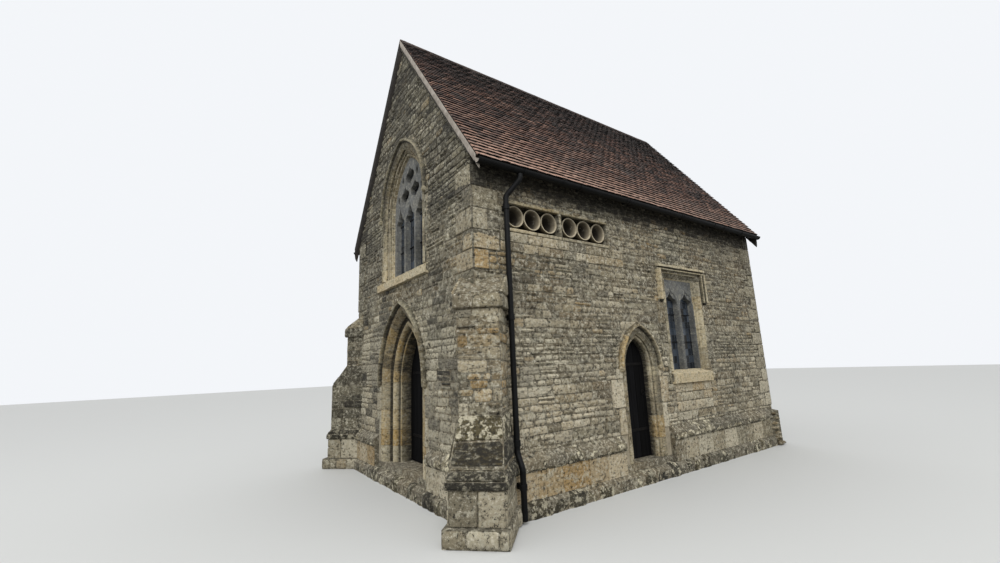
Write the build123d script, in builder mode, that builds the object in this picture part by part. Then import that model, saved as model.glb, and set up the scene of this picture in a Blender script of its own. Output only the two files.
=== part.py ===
from build123d import *
import os
from math import acos, atan, cos, degrees, radians, sin, sqrt, tan

os.makedirs("parts", exist_ok=True)

# Driving dimensions, in millimetres and degrees

# Body of the building
body_width = 4740
body_length = 7540
wall = 700
wall_head = 4640
course_level = 3660
gable_course = 3330
floor_level = 300

# Roof
roof_pitch = 54
covering = 60
eaves_overhang = 245
verge_overhang = 53
rafter_depth = 90
rafter_width = 75
rafter_count = 12
rafter_clearance = 23
rafter_tail = 170
rafter_foot_level = 4480
plate_width = 150
plate_height = 130
plate_inset = 25
collar_level = 6350
collar_depth = 100
ridge_tile_leg = 170
ridge_tile_thickness = 28
ridge_tile_round = 50
verge_fillet_depth = 70
verge_fillet_reach = 38

# Rainwater goods
gutter_radius = 62
gutter_metal = 5
gutter_drop = 42
bracket_width = 30
bracket_metal = 6
bracket_count = 6
pipe_radius = 38
pipe_sides = 16
pipe_from_front = 500
outlet_from_front = 650
pipe_stand_off = 55
pipe_bend = 75
pipe_neck_top = 4170
pipe_plinth_neck = 800
pipe_neck_drop = 180
pipe_shoe_level = 40
collar_radius = 48
collar_height = 70
ear_levels = (3980, 2450)
ear_width = 36
low_ear_level = 380

# Plinth round the foot of the walls
plinth_face = 70
plinth_nose = 100
plinth_footing = 130
footing_level = 190
nose_level = 560
nose_height = 85
plinth_top = 740
footing_fall = 40
nose_throat = 20
plinth_door_gap = 30
plinth_lap = 20

# Diagonal buttresses on the front corners
buttress_half = 270
buttress_reach = 130
lower_half = 310
lower_reach = 420
butt_plinth_half = 345
butt_plinth_reach = 490
footing_half = 365
footing_reach = 550
buttress_shift = 60
cap_level = 2580
cap_height = 175
cap_reach = 35
cap_top = 3060
near_weathering = (780, 1300)
far_weathering = (1600, 2000)

# Squared stones up the corners, long and short by turns
corner_long = 420
corner_short = 240
corner_stone = 270
corner_proud = 12
corner_joint = 5
corner_clear = 60

# Broken stubs on the back corners
stub_half = 240
stub_reach = 30
stub_height = 700

# Front doorway, two moulded orders
front_door_half = 830
front_door_springing = 1650
front_door_rise = 1240
front_inner_half = 500
front_inner_depth = 210
front_leaf_depth = 390
front_chamfer = (110, 82)
front_hollow = 34
front_roll = 56
roll_crown = (0.3, 0.6)
roll_shoulder = (0.6, 0.2)
front_arris = 22
jamb_base_level = 570
jamb_stone = 200

# Side doorway, one moulded order
side_door_middle = 3190
side_door_half = 395
side_door_springing = 1760
side_door_rise = 570
side_inner_half = 305
side_inner_depth = 95
side_leaf_depth = 180
side_chamfer = (40, 33)
side_quirk = (50, 76)

# Behind both leaves
leaf_gap = 10
leaf_thickness = 50
leaf_lap = 30
leaf_foot_gap = 12
embrasure_room = 110
rear_head_room = 25
rear_arch_rise = 120
rear_arch_depth = 250
spandrel_lap = 60

# Ironwork
pin_radius = 9
pin_clearance = 0.08
eye_radius = 17
eye_gap = 1
eye_height = 40
pin_height = 90
strap_width = 45
strap_metal = 7
strap_levels = (420, 1480)
ring_radius = 42
ring_wire = 6
ring_height = 1050
ring_place = 0.72
rose_radius = 25
strap_share = 0.86
pin_below = 27
tang_height = 18
pin_behind = 6

# Pointed window in each gable
gable_sill = 3520
gable_springing = 4750
gable_half = 860
gable_rise = 1170
gable_inner_half = 690
gable_reveal = 150
gable_chamfer = (90, 70)
gable_quirk = (108, 120)
tracery_depth = 120
mullion = 72
light_spacing = 436
light_springing = 4560
light_apex = 4930
net_level = 5050
net_row = 330
net_reach = 235
dagger_half = 48
dagger_reach = 125
dagger_low_out = 505
dagger_high_out = 312
plain_springing = (4750, 5150)
plain_rise = 330
cusp_share = 0.5
head_share = 0.65
glass = 8
inner_splay = 100
sill_projection = 45
sill_fall = 40
sill_nosing = 24
sill_throat = 16

# Square-headed window in each side wall
side_window_middle = 4645
side_window_half = 545
side_window_sill = 1650
side_window_head = 3450
side_inner_window_half = 490
side_window_reveal = 100
side_head_splay = 110
side_surround_half = 620
side_sill_height = 215
side_light_springing = 2880
side_light_apex = 3150

# Hood moulds
hood_inner = 70
hood_outer = 190
hood_reach = 90
hood_throat = 32
hood_hollow = 42
hood_nose = 30
hood_back = 27
door_hood_outer = 165
stop_radius = 70
stop_drop = 42
stop_taper = 20
label_top = 3580
label_drop = 2920
label_half = 755
label_width = 95
label_nose = 38
label_throat = 45

# Clay pots laid in the wall head
pot_count = 3
pot_pitch = 322
pot_radius = 158
pot_base_radius = 95
pot_length = 300
pot_shell = 14
pot_axis_level = 3950
pot_groups = (1055, 2133)
pot_rim_depth = 20
pot_panel_half = 510
pot_panel_level = 3757
pot_panel_height = 393
pot_panel_end = 60

# Levels and places worked out from the driving dimensions
half_width = body_width / 2
inner_half = half_width - wall
diagonal = sqrt(0.5)
rise_per_run = tan(radians(roof_pitch))
slope_cos = cos(radians(roof_pitch))
slope_sin = sin(radians(roof_pitch))
ridge_height = wall_head + rafter_clearance + (rafter_depth + covering) / slope_cos
ridge_height += half_width * rise_per_run
front_reach = (footing_reach + footing_half - buttress_shift) * diagonal
stub_corner = (stub_reach + stub_half) * diagonal
back_reach = max(stub_corner, plinth_footing, verge_overhang)
y_front = (front_reach - back_reach - body_length) / 2
y_back = y_front + body_length
y_middle = (y_front + y_back) / 2

# Reference planes: x along the face, y into the wall, z up
front = Plane(origin=(0, y_front, 0), x_dir=(1, 0, 0), z_dir=(0, 0, 1))
back = Plane(origin=(0, y_back, 0), x_dir=(-1, 0, 0), z_dir=(0, 0, 1))
right = Plane(origin=(half_width, y_front, 0), x_dir=(0, 1, 0), z_dir=(0, 0, 1))
left = Plane(origin=(-half_width, y_back, 0), x_dir=(0, -1, 0), z_dir=(0, 0, 1))
across = Plane(origin=(0, y_middle, 0), x_dir=(-1, 0, 0), z_dir=(0, 1, 0))


def elevation(face, depth=0):
    """The upright plane of a wall face at a depth, x along the wall and y up."""
    origin = face.origin + face.y_dir * depth
    return Plane(origin=origin, x_dir=face.x_dir, z_dir=face.y_dir * -1)


def in_wall(face, outline, start, end, mode=Mode.ADD):
    """Carries an elevation outline from one depth in a wall to another."""
    extrude(elevation(face, start) * outline, amount=start - end, mode=mode)


def outline_of(*points):
    """A straight-sided outline."""
    with BuildSketch() as drawn:
        with BuildLine():
            Polyline(*points, close=True)
        make_face()
    return drawn.sketch


def panel(x_from, x_to, z_from, z_to):
    """A rectangular outline."""
    return outline_of((x_from, z_from), (x_to, z_from), (x_to, z_to), (x_from, z_to))


def arch_centre(half, rise):
    """How far past the middle line each arc of a pointed arch is struck from."""
    return (rise * rise - half * half) / (2 * half)


def arch_rise(half, centre):
    """Rise of a pointed arch of this half width, struck from these centres."""
    return sqrt(half * half + 2 * half * centre)


def pointed(x, half, centre, foot, springing):
    """Straight jambs under two arcs that meet in a point."""
    apex = springing + arch_rise(half, centre)
    with BuildSketch() as drawn:
        with BuildLine():
            Polyline((x - half, springing), (x - half, foot), (x + half, foot), (x + half, springing))
            RadiusArc((x + half, springing), (x, apex), -(half + centre))
            RadiusArc((x, apex), (x - half, springing), -(half + centre))
        make_face()
    return drawn.sketch


def segmental(x, half, foot, springing, rise):
    """Straight jambs under one low arc."""
    with BuildSketch() as drawn:
        with BuildLine():
            Polyline((x - half, springing), (x - half, foot), (x + half, foot), (x + half, springing))
            ThreePointArc((x + half, springing), (x, springing + rise), (x - half, springing))
        make_face()
    return drawn.sketch


def moulded_arch(face, x, section, centre, foot, springing):
    """Jambs and pointed arch of one section, mitred at the apex."""
    middle = Plane(origin=face.from_local_coords((x, 0, 0)), z_dir=face.x_dir)
    with BuildSketch(face.offset(springing)) as cut:
        with BuildLine():
            Polyline(*[(x + offset, depth) for offset, depth in section], close=True)
        make_face()
    if springing > foot:
        extrude(cut.sketch, amount=foot - springing)
    outermost = max(offset for offset, depth in section)
    turn = degrees(acos(centre / (centre + outermost)))
    pivot = face.from_local_coords((x - centre, 0, springing))
    revolve(cut.sketch, axis=Axis(pivot, face.y_dir * -1), revolution_arc=turn)
    split(bisect_by=middle, keep=Keep.TOP)
    mirror(about=middle)


def finish(node, name):
    """Names a finished piece and writes it."""
    node.part.label = name
    export_step(node.part, f"parts/{name}.step")


def slope_top(x):
    """Level of the tiled slope's top face at a distance from the ridge line."""
    return ridge_height - x * rise_per_run


def slope_under(x):
    """Level of the tiled slope's underside."""
    return slope_top(x) - covering / slope_cos


def rafter_under(x):
    """Level of the rafters' underside."""
    return slope_under(x) - rafter_depth / slope_cos


# Arches of the openings
front_centre = arch_centre(front_door_half, front_door_rise)
side_centre = arch_centre(side_door_half, side_door_rise)
gable_centre = arch_centre(gable_half, gable_rise)
front_stone = front_door_half + jamb_stone
side_stone = side_door_half + jamb_stone
gable_stone = gable_half + jamb_stone
window_from = side_window_middle - side_surround_half
window_to = side_window_middle + side_surround_half
sill_bed = side_window_sill - side_sill_height
pots_from = pot_groups[0] - pot_panel_half - pot_panel_end
pots_to = pot_groups[1] + pot_panel_half + pot_panel_end
pots_head = pot_panel_level + pot_panel_height

# Leaves and the embrasures that they swing in
front_leaf_half = front_inner_half + leaf_lap
side_leaf_half = side_inner_half + leaf_lap
front_leaf_top = front_door_springing + arch_rise(front_leaf_half, front_centre)
side_leaf_top = side_door_springing + arch_rise(side_leaf_half, side_centre)
front_embrasure = front_leaf_half + embrasure_room
side_embrasure = side_leaf_half + embrasure_room


def rear_springing(leaf_top):
    return leaf_top + rear_head_room


def rear_block_top(leaf_top):
    return rear_springing(leaf_top) + rear_arch_rise + rear_arch_depth


def corner_stones(side, y_corner, low, high):
    """Squared stones up a corner, long on one face and short on the other by turns."""
    count = round((high - low) / corner_stone)
    step = (high - low) / count
    inward = 1 if y_corner < y_middle else -1
    for number in range(count):
        on_side = corner_long if number % 2 else corner_short
        on_end = corner_long + corner_short - on_side
        x = side * (half_width + (corner_proud - on_end) / 2)
        y = y_corner + inward * (on_side - corner_proud) / 2
        with BuildSketch(Plane.XY.offset(low + number * step + corner_joint)) as bed:
            with Locations((x, y)):
                Rectangle(on_end + corner_proud, on_side + corner_proud)
        extrude(bed.sketch, amount=step - corner_joint * 2)


# Front wall, between the side walls
with BuildPart() as front_wall_sides:
    in_wall(front, outline_of(
        (front_stone, 0), (inner_half, 0), (inner_half, gable_course),
        (front_stone + spandrel_lap, gable_course),
        (front_stone + spandrel_lap, front_door_springing),
        (front_stone, front_door_springing)), 0, wall)
    mirror(about=Plane.YZ)
finish(front_wall_sides, "front_wall_sides")

with BuildPart() as front_wall_over_door:
    span = front_stone + spandrel_lap
    in_wall(front, panel(-span, span, front_door_springing, gable_course), 0, wall)
    in_wall(front, pointed(0, front_stone, front_centre, 0, front_door_springing),
            0, front_leaf_depth, Mode.SUBTRACT)
    in_wall(front, panel(-front_stone, front_stone, 0, rear_block_top(front_leaf_top)),
            front_leaf_depth, wall, Mode.SUBTRACT)
finish(front_wall_over_door, "front_wall_over_door")

# Front doorway: a wide chamfer, then a roll between two hollows, down to a splayed base
roll_x = (front_door_half - front_chamfer[0] + front_inner_half) / 2
roll_depth = (front_chamfer[1] + front_inner_depth) / 2
front_section = [
    (front_stone, 0), (front_door_half, 0),
    (front_door_half - front_chamfer[0], front_chamfer[1]),
    (front_door_half - front_chamfer[0], front_chamfer[1] + front_hollow),
    (roll_x + front_roll * diagonal, roll_depth + front_hollow),
    (roll_x + front_roll, roll_depth),
    (roll_x + front_roll * roll_crown[0], roll_depth - front_roll * roll_crown[1]),
    (roll_x - front_roll * roll_shoulder[0], roll_depth - front_roll * roll_shoulder[1]),
    (roll_x - front_roll, roll_depth + front_hollow),
    (front_inner_half + front_arris, front_inner_depth + front_hollow),
    (front_inner_half + front_arris, front_inner_depth), (front_inner_half, front_inner_depth),
    (front_inner_half, front_leaf_depth), (front_stone, front_leaf_depth)]
jamb_base = outline_of(
    (front_door_half, 0), (front_stone, 0), (front_stone, front_leaf_depth),
    (front_inner_half, front_leaf_depth), (front_inner_half, front_inner_depth))
with BuildPart() as front_doorway:
    moulded_arch(front, 0, front_section, front_centre, floor_level, front_door_springing)
    extrude(front.offset(floor_level) * jamb_base, amount=jamb_base_level - floor_level)
    mirror(about=Plane.YZ)
finish(front_doorway, "front_doorway")

# Gables: the front one and its plain repeat at the back
gable_side = outline_of(
    (gable_stone, gable_course), (inner_half, gable_course), (inner_half, wall_head),
    (half_width, wall_head), (half_width, slope_under(half_width)),
    (gable_stone + spandrel_lap, slope_under(gable_stone + spandrel_lap)),
    (gable_stone + spandrel_lap, gable_springing), (gable_stone, gable_springing))
gable_span = gable_stone + spandrel_lap
gable_head = outline_of(
    (-gable_span, gable_springing), (gable_span, gable_springing),
    (gable_span, slope_under(gable_span)), (0, slope_under(0)),
    (-gable_span, slope_under(gable_span)))

with BuildPart() as front_gable_sides:
    in_wall(front, gable_side, 0, wall)
    mirror(about=Plane.YZ)
finish(front_gable_sides, "front_gable_sides")

with BuildPart() as front_gable_top:
    in_wall(front, gable_head, 0, wall)
    in_wall(front, pointed(0, gable_stone, gable_centre, gable_sill, gable_springing),
            0, wall, Mode.SUBTRACT)
finish(front_gable_top, "front_gable_top")

with BuildPart() as back_wall:
    in_wall(back, panel(-inner_half, inner_half, 0, gable_course), 0, wall)
finish(back_wall, "back_wall")

with BuildPart() as back_gable_sides:
    in_wall(back, gable_side, 0, wall)
    mirror(about=Plane.YZ)
finish(back_gable_sides, "back_gable_sides")

with BuildPart() as back_gable_top:
    in_wall(back, gable_head, 0, wall)
    in_wall(back, pointed(0, gable_stone, gable_centre, gable_sill, gable_springing),
            0, wall, Mode.SUBTRACT)
finish(back_gable_top, "back_gable_top")

# Right wall, with the small doorway and the window
with BuildPart() as right_wall_front:
    in_wall(right, outline_of(
        (0, 0), (side_door_middle - side_stone, 0), (side_door_middle - side_stone, side_door_springing),
        (side_door_middle - side_stone - spandrel_lap, side_door_springing),
        (side_door_middle - side_stone - spandrel_lap, course_level), (0, course_level)), 0, wall)
    corner_stones(1, y_front, cap_top + corner_clear, course_level)
finish(right_wall_front, "right_wall_front")

with BuildPart() as right_wall_over_door:
    in_wall(right, outline_of(
        (side_door_middle - side_stone - spandrel_lap, side_door_springing),
        (side_door_middle + side_stone, side_door_springing),
        (side_door_middle + side_stone, sill_bed), (window_from, sill_bed),
        (window_from, course_level),
        (side_door_middle - side_stone - spandrel_lap, course_level)), 0, wall)
    in_wall(right, pointed(side_door_middle, side_stone, side_centre, 0, side_door_springing),
            0, side_leaf_depth, Mode.SUBTRACT)
    in_wall(right, panel(side_door_middle - side_stone, side_door_middle + side_stone,
                         0, rear_block_top(side_leaf_top)), side_leaf_depth, wall, Mode.SUBTRACT)
finish(right_wall_over_door, "right_wall_over_door")

with BuildPart() as right_wall_under_window:
    in_wall(right, panel(side_door_middle + side_stone, window_to, 0, sill_bed), 0, wall)
finish(right_wall_under_window, "right_wall_under_window")

with BuildPart() as right_wall_back:
    in_wall(right, panel(window_to, body_length, 0, course_level), 0, wall)
    corner_stones(1, y_back, plinth_top + corner_clear, course_level)
finish(right_wall_back, "right_wall_back")

with BuildPart() as right_wall_top:
    in_wall(right, panel(0, body_length, course_level, wall_head), 0, wall)
    in_wall(right, panel(pots_from, pots_to, course_level, pots_head), 0, wall, Mode.SUBTRACT)
    corner_stones(1, y_front, course_level, wall_head - corner_clear)
    corner_stones(1, y_back, course_level, wall_head - corner_clear)
finish(right_wall_top, "right_wall_top")

# Side doorway: one chamfered order
side_section = [
    (side_stone, 0), (side_door_half, 0),
    (side_door_half - side_chamfer[0], side_chamfer[1]),
    (side_door_half - side_quirk[0], side_quirk[1]),
    (side_inner_half, side_inner_depth),
    (side_inner_half, side_leaf_depth), (side_stone, side_leaf_depth)]
with BuildPart() as side_doorway:
    moulded_arch(right, side_door_middle, side_section, side_centre, floor_level, side_door_springing)
finish(side_doorway, "side_doorway")

# Embrasures behind the leaves, each under a low rear arch
with BuildPart() as door_rear_arches:
    in_wall(front, panel(-front_stone, front_stone, floor_level, rear_block_top(front_leaf_top)),
            front_leaf_depth, wall)
    in_wall(front, segmental(0, front_embrasure, floor_level, rear_springing(front_leaf_top),
                             rear_arch_rise), front_leaf_depth, wall, Mode.SUBTRACT)
    in_wall(right, panel(side_door_middle - side_stone, side_door_middle + side_stone, floor_level,
                         rear_block_top(side_leaf_top)), side_leaf_depth, wall)
    in_wall(right, segmental(side_door_middle, side_embrasure, floor_level,
                             rear_springing(side_leaf_top), rear_arch_rise),
            side_leaf_depth, wall, Mode.SUBTRACT)
finish(door_rear_arches, "door_rear_arches")

with BuildPart() as door_thresholds:
    in_wall(front, panel(-front_stone, front_stone, 0, floor_level), 0, wall)
    in_wall(right, panel(side_door_middle - side_stone, side_door_middle + side_stone, 0, floor_level), 0, wall)
finish(door_thresholds, "door_thresholds")

with BuildPart() as floor:
    in_wall(front, panel(-inner_half, inner_half, 0, floor_level), wall, body_length - wall)
finish(floor, "floor")

# Left wall, a plain repeat with the window and no doorway
far_from = body_length - window_to
far_to = body_length - window_from
with BuildPart() as left_wall_sides:
    in_wall(left, panel(0, far_from, 0, course_level), 0, wall)
    in_wall(left, panel(far_to, body_length, 0, course_level), 0, wall)
    corner_stones(-1, y_front, cap_top + corner_clear, course_level)
    corner_stones(-1, y_back, plinth_top + corner_clear, course_level)
finish(left_wall_sides, "left_wall_sides")

with BuildPart() as left_wall_under_window:
    in_wall(left, panel(far_from, far_to, 0, sill_bed), 0, wall)
finish(left_wall_under_window, "left_wall_under_window")

with BuildPart() as left_wall_top:
    in_wall(left, panel(0, body_length, course_level, wall_head), 0, wall)
    corner_stones(-1, y_front, course_level, wall_head - corner_clear)
    corner_stones(-1, y_back, course_level, wall_head - corner_clear)
finish(left_wall_top, "left_wall_top")

# Window surrounds
gable_back_of_glass = gable_reveal + tracery_depth + glass
gable_section = [
    (gable_stone, 0), (gable_half, 0),
    (gable_half - gable_chamfer[0], gable_chamfer[1]),
    (gable_half - gable_quirk[0], gable_quirk[1]),
    (gable_inner_half, gable_reveal),
    (gable_inner_half, gable_back_of_glass),
    (gable_inner_half + inner_splay, wall), (gable_stone, wall)]
with BuildPart() as pointed_window_surrounds:
    moulded_arch(front, 0, gable_section, gable_centre, gable_sill, gable_springing)
    mirror(about=across)
finish(pointed_window_surrounds, "pointed_window_surrounds")

inner_head = side_window_head - side_head_splay
side_back_of_glass = side_window_reveal + tracery_depth + glass
with BuildPart() as square_window_surrounds:
    in_wall(right, panel(window_from, window_to, side_window_sill, course_level), 0, wall)
    with BuildSketch(elevation(right, 0)):
        add(panel(side_window_middle - side_window_half, side_window_middle + side_window_half,
                  side_window_sill, side_window_head))
    with BuildSketch(elevation(right, side_window_reveal)):
        add(panel(side_window_middle - side_inner_window_half, side_window_middle + side_inner_window_half,
                  side_window_sill, inner_head))
    loft(ruled=True, mode=Mode.SUBTRACT)
    in_wall(right, panel(side_window_middle - side_inner_window_half,
                         side_window_middle + side_inner_window_half, side_window_sill, inner_head),
            side_window_reveal, side_back_of_glass, Mode.SUBTRACT)
    with BuildSketch(elevation(right, side_back_of_glass)):
        add(panel(side_window_middle - side_inner_window_half, side_window_middle + side_inner_window_half,
                  side_window_sill, inner_head))
    with BuildSketch(elevation(right, wall)):
        add(panel(side_window_middle - side_inner_window_half - inner_splay,
                  side_window_middle + side_inner_window_half + inner_splay,
                  side_window_sill, inner_head + inner_splay))
    loft(ruled=True, mode=Mode.SUBTRACT)
    mirror(about=Plane.YZ)
finish(square_window_surrounds, "square_window_surrounds")


def sill_section(bed, top, reveal):
    """Section across a wall of a sill that falls to its outer nosing."""
    return [(wall, bed), (wall, top), (reveal, top), (0, top - sill_fall),
            (-sill_projection, top - sill_fall - sill_nosing), (-sill_projection, bed + sill_fall),
            (0, bed + sill_fall - sill_throat), (0, bed)]


def sill(face, x_from, x_to, bed, top, reveal):
    """A sill stone laid through the wall."""
    side = Plane(origin=face.from_local_coords((x_from, 0, 0)), x_dir=face.y_dir,
                 z_dir=face.x_dir)
    with BuildSketch(side) as cut:
        with BuildLine():
            Polyline(*[(depth, level) for depth, level in sill_section(bed, top, reveal)],
                     close=True)
        make_face()
    extrude(cut.sketch, amount=x_to - x_from)


with BuildPart() as window_sills:
    sill(front, -gable_stone, gable_stone, gable_course, gable_sill, gable_reveal)
    mirror(about=across)
    sill(right, window_from, window_to, sill_bed, side_window_sill, side_window_reveal)
    sill(left, far_from, far_to, sill_bed, side_window_sill, side_window_reveal)
finish(window_sills, "window_sills")


def ogee(x, half, level, reach):
    """One end of a light or a net eye: two reversed curves that meet in a point."""
    turn = 2 * atan(half / abs(reach))
    radius = abs(reach) / 2 / sin(turn)
    bow = radius if reach > 0 else -radius
    with BuildSketch() as drawn:
        with BuildLine():
            Line((x - half, level), (x + half, level))
            RadiusArc((x + half, level), (x + half / 2, level + reach / 2), -bow)
            RadiusArc((x + half / 2, level + reach / 2), (x, level + reach), bow)
            RadiusArc((x, level + reach), (x - half / 2, level + reach / 2), bow)
            RadiusArc((x - half / 2, level + reach / 2), (x - half, level), -bow)
        make_face()
    return drawn.sketch


def cusped_light(x, half, foot, springing, apex):
    """A narrow light under a trefoil head that ends in an ogee."""
    lobe = half * cusp_share
    with BuildSketch() as drawn:
        add(panel(x - half, x + half, foot, springing))
        with Locations((x - half + lobe, springing), (x + half - lobe, springing)):
            Circle(lobe)
        add(ogee(x, half * head_share, springing, apex - springing))
    return drawn.sketch


def net_eye(x, half, level, reach):
    """An eye of the net: two side lobes between pointed ends."""
    lobe = half * cusp_share
    with BuildSketch() as drawn:
        with Locations((x - half + lobe, level), (x + half - lobe, level)):
            Circle(lobe)
        add(ogee(x, half * head_share, level, reach))
        add(ogee(x, half * head_share, level, -reach))
    return drawn.sketch


def dagger(x, level):
    """A plain pointed eye beside the net."""
    with BuildSketch() as drawn:
        add(ogee(x, dagger_half, level, dagger_reach))
        add(ogee(x, dagger_half, level, -dagger_reach))
    return drawn.sketch


with BuildPart() as pointed_window_tracery:
    in_wall(front, pointed(0, gable_inner_half, gable_centre, gable_sill, gable_springing),
            gable_reveal, gable_reveal + tracery_depth)
    light_half = (light_spacing - mullion) / 2
    top_level = net_level + net_row
    cuts = [cusped_light(place * light_spacing, light_half, gable_sill, light_springing, light_apex)
            for place in (-1, 0, 1)]
    cuts += [net_eye(side * light_spacing / 2, light_half, net_level, net_reach)
             for side in (-1, 1)]
    cuts += [net_eye(0, light_half, top_level, net_reach)]
    cuts += [dagger(side * dagger_low_out, net_level) for side in (-1, 1)]
    cuts += [dagger(side * dagger_high_out, top_level) for side in (-1, 1)]
    for cut in cuts:
        in_wall(front, cut, gable_reveal, gable_reveal + tracery_depth, Mode.SUBTRACT)
    # The hidden back window has three plain lights, the middle one the tallest
    in_wall(back, pointed(0, gable_inner_half, gable_centre, gable_sill, gable_springing),
            gable_reveal, gable_reveal + tracery_depth)
    plain_centre = arch_centre(light_half, plain_rise)
    for place in (-1, 0, 1):
        springing = plain_springing[place == 0]
        in_wall(back, pointed(place * light_spacing, light_half, plain_centre, gable_sill, springing),
                gable_reveal, gable_reveal + tracery_depth, Mode.SUBTRACT)
finish(pointed_window_tracery, "pointed_window_tracery")

with BuildPart() as square_window_tracery:
    in_wall(right, panel(side_window_middle - side_inner_window_half,
                         side_window_middle + side_inner_window_half, side_window_sill, inner_head),
            side_window_reveal, side_window_reveal + tracery_depth)
    pane = (side_inner_window_half - mullion) / 2
    for place in (-1, 1):
        in_wall(right, cusped_light(side_window_middle + place * (pane + mullion / 2), pane,
                                    side_window_sill, side_light_springing, side_light_apex),
                side_window_reveal, side_window_reveal + tracery_depth, Mode.SUBTRACT)
    mirror(about=Plane.YZ)
finish(square_window_tracery, "square_window_tracery")

with BuildPart() as window_glass:
    in_wall(front, pointed(0, gable_inner_half, gable_centre, gable_sill, gable_springing),
            gable_reveal + tracery_depth, gable_back_of_glass)
    mirror(about=across)
    for face, x in ((right, side_window_middle), (left, body_length - side_window_middle)):
        in_wall(face, panel(x - side_inner_window_half, x + side_inner_window_half,
                            side_window_sill, inner_head),
                side_window_reveal + tracery_depth, side_back_of_glass)
finish(window_glass, "window_glass")


# Hood moulds: a weathered top over a hollow, with a rounded stop at each end
def hood(face, x, half, centre, springing, inner, outer):
    """A hood mould round a pointed arch."""
    low = half + inner
    section = [(low, 0), (low, -hood_throat), (low + hood_hollow, -hood_reach),
               (low + hood_hollow + hood_nose, -hood_reach), (half + outer, -hood_back),
               (half + outer, 0)]
    moulded_arch(face, x, section, centre, springing, springing)


def hood_stops(face, x, half, inner, outer, springing):
    """Rounded stops under the two ends of a hood mould."""
    for side in (-1, 1):
        middle = x + side * (half + (inner + outer) / 2)
        with BuildSketch(elevation(face)) as worn_end:
            with Locations((middle, springing - stop_drop)):
                RegularPolygon(stop_radius, 8)
        extrude(worn_end.sketch, amount=hood_reach, taper=stop_taper)


with BuildPart() as side_door_hood:
    hood(right, side_door_middle, side_door_half, side_centre, side_door_springing,
         hood_inner, door_hood_outer)
    hood_stops(right, side_door_middle, side_door_half, hood_inner, door_hood_outer,
               side_door_springing)
finish(side_door_hood, "side_door_hood")

with BuildPart() as front_door_hood:
    hood(front, 0, front_door_half, front_centre, front_door_springing, hood_inner, hood_outer)
    hood_stops(front, 0, front_door_half, hood_inner, hood_outer, front_door_springing)
finish(front_door_hood, "front_door_hood")

with BuildPart() as pointed_window_hoods:
    hood(front, 0, gable_half, gable_centre, gable_springing, hood_inner, hood_outer)
    hood_stops(front, 0, gable_half, hood_inner, hood_outer, gable_springing)
    mirror(about=across)
finish(pointed_window_hoods, "pointed_window_hoods")


def label(face, x, top, width, reach):
    """A square label: a level head with a drop at each end."""
    across_half = label_half - (label_top - top)
    low = across_half - width
    in_wall(face, outline_of(
        (x - across_half, label_drop), (x - across_half, top), (x + across_half, top),
        (x + across_half, label_drop), (x + low, label_drop), (x + low, top - width),
        (x - low, top - width), (x - low, label_drop)), -reach, 0)


with BuildPart() as square_window_labels:
    label(right, side_window_middle, label_top, label_nose, hood_reach)
    label(right, side_window_middle, label_top - label_nose, label_width - label_nose, label_throat)
    mirror(about=Plane.YZ)
finish(square_window_labels, "square_window_labels")

# Clay pots laid on their sides, mouths outward, in two walled groups
pot_places = [group + (place - (pot_count - 1) / 2) * pot_pitch
              for group in pot_groups for place in range(pot_count)]
pot_back = pot_rim_depth + pot_length


def turned(face, x, level, section):
    """Turns a half section about a level axis square to the wall."""
    with BuildSketch(face.offset(level)) as half_section:
        with BuildLine():
            Polyline(*[(x + radius, depth) for radius, depth in section], close=True)
        make_face()
    revolve(half_section.sketch, axis=Axis(face.from_local_coords((x, 0, level)), face.y_dir))


with BuildPart() as pot_panel:
    in_wall(right, panel(pots_from, pots_to, course_level, pots_head), 0, wall)
    for group in pot_groups:
        in_wall(right, panel(group - pot_panel_half, group + pot_panel_half,
                             pot_panel_level, pots_head), 0, pot_back, Mode.SUBTRACT)
finish(pot_panel, "pot_panel")

with BuildPart() as clay_pots:
    for place in pot_places:
        turned(right, place, pot_axis_level, [
            (pot_radius - pot_shell, pot_rim_depth), (pot_radius, pot_rim_depth),
            (pot_base_radius, pot_back), (0, pot_back), (0, pot_back - pot_shell),
            (pot_base_radius - pot_shell, pot_back - pot_shell)])
finish(clay_pots, "clay_pots")


# Diagonal buttresses
def buttress_plane(side, level):
    """Level plane on a front corner, x outward along the diagonal and y towards the side wall."""
    return Plane(origin=(side * half_width, y_front, level),
                 x_dir=(side * diagonal, -diagonal, 0), z_dir=(0, 0, side))


def stage(side, level, reach, half):
    """Plan of one stage of a buttress."""
    plane = buttress_plane(side, level)
    with BuildSketch(plane) as plan:
        with Locations(((reach - wall) / 2, buttress_shift)):
            Rectangle(reach + wall, half * 2)
    return plan.sketch


def lift(side, height):
    """Extrusion amount that goes up on either corner."""
    return side * height


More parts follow.
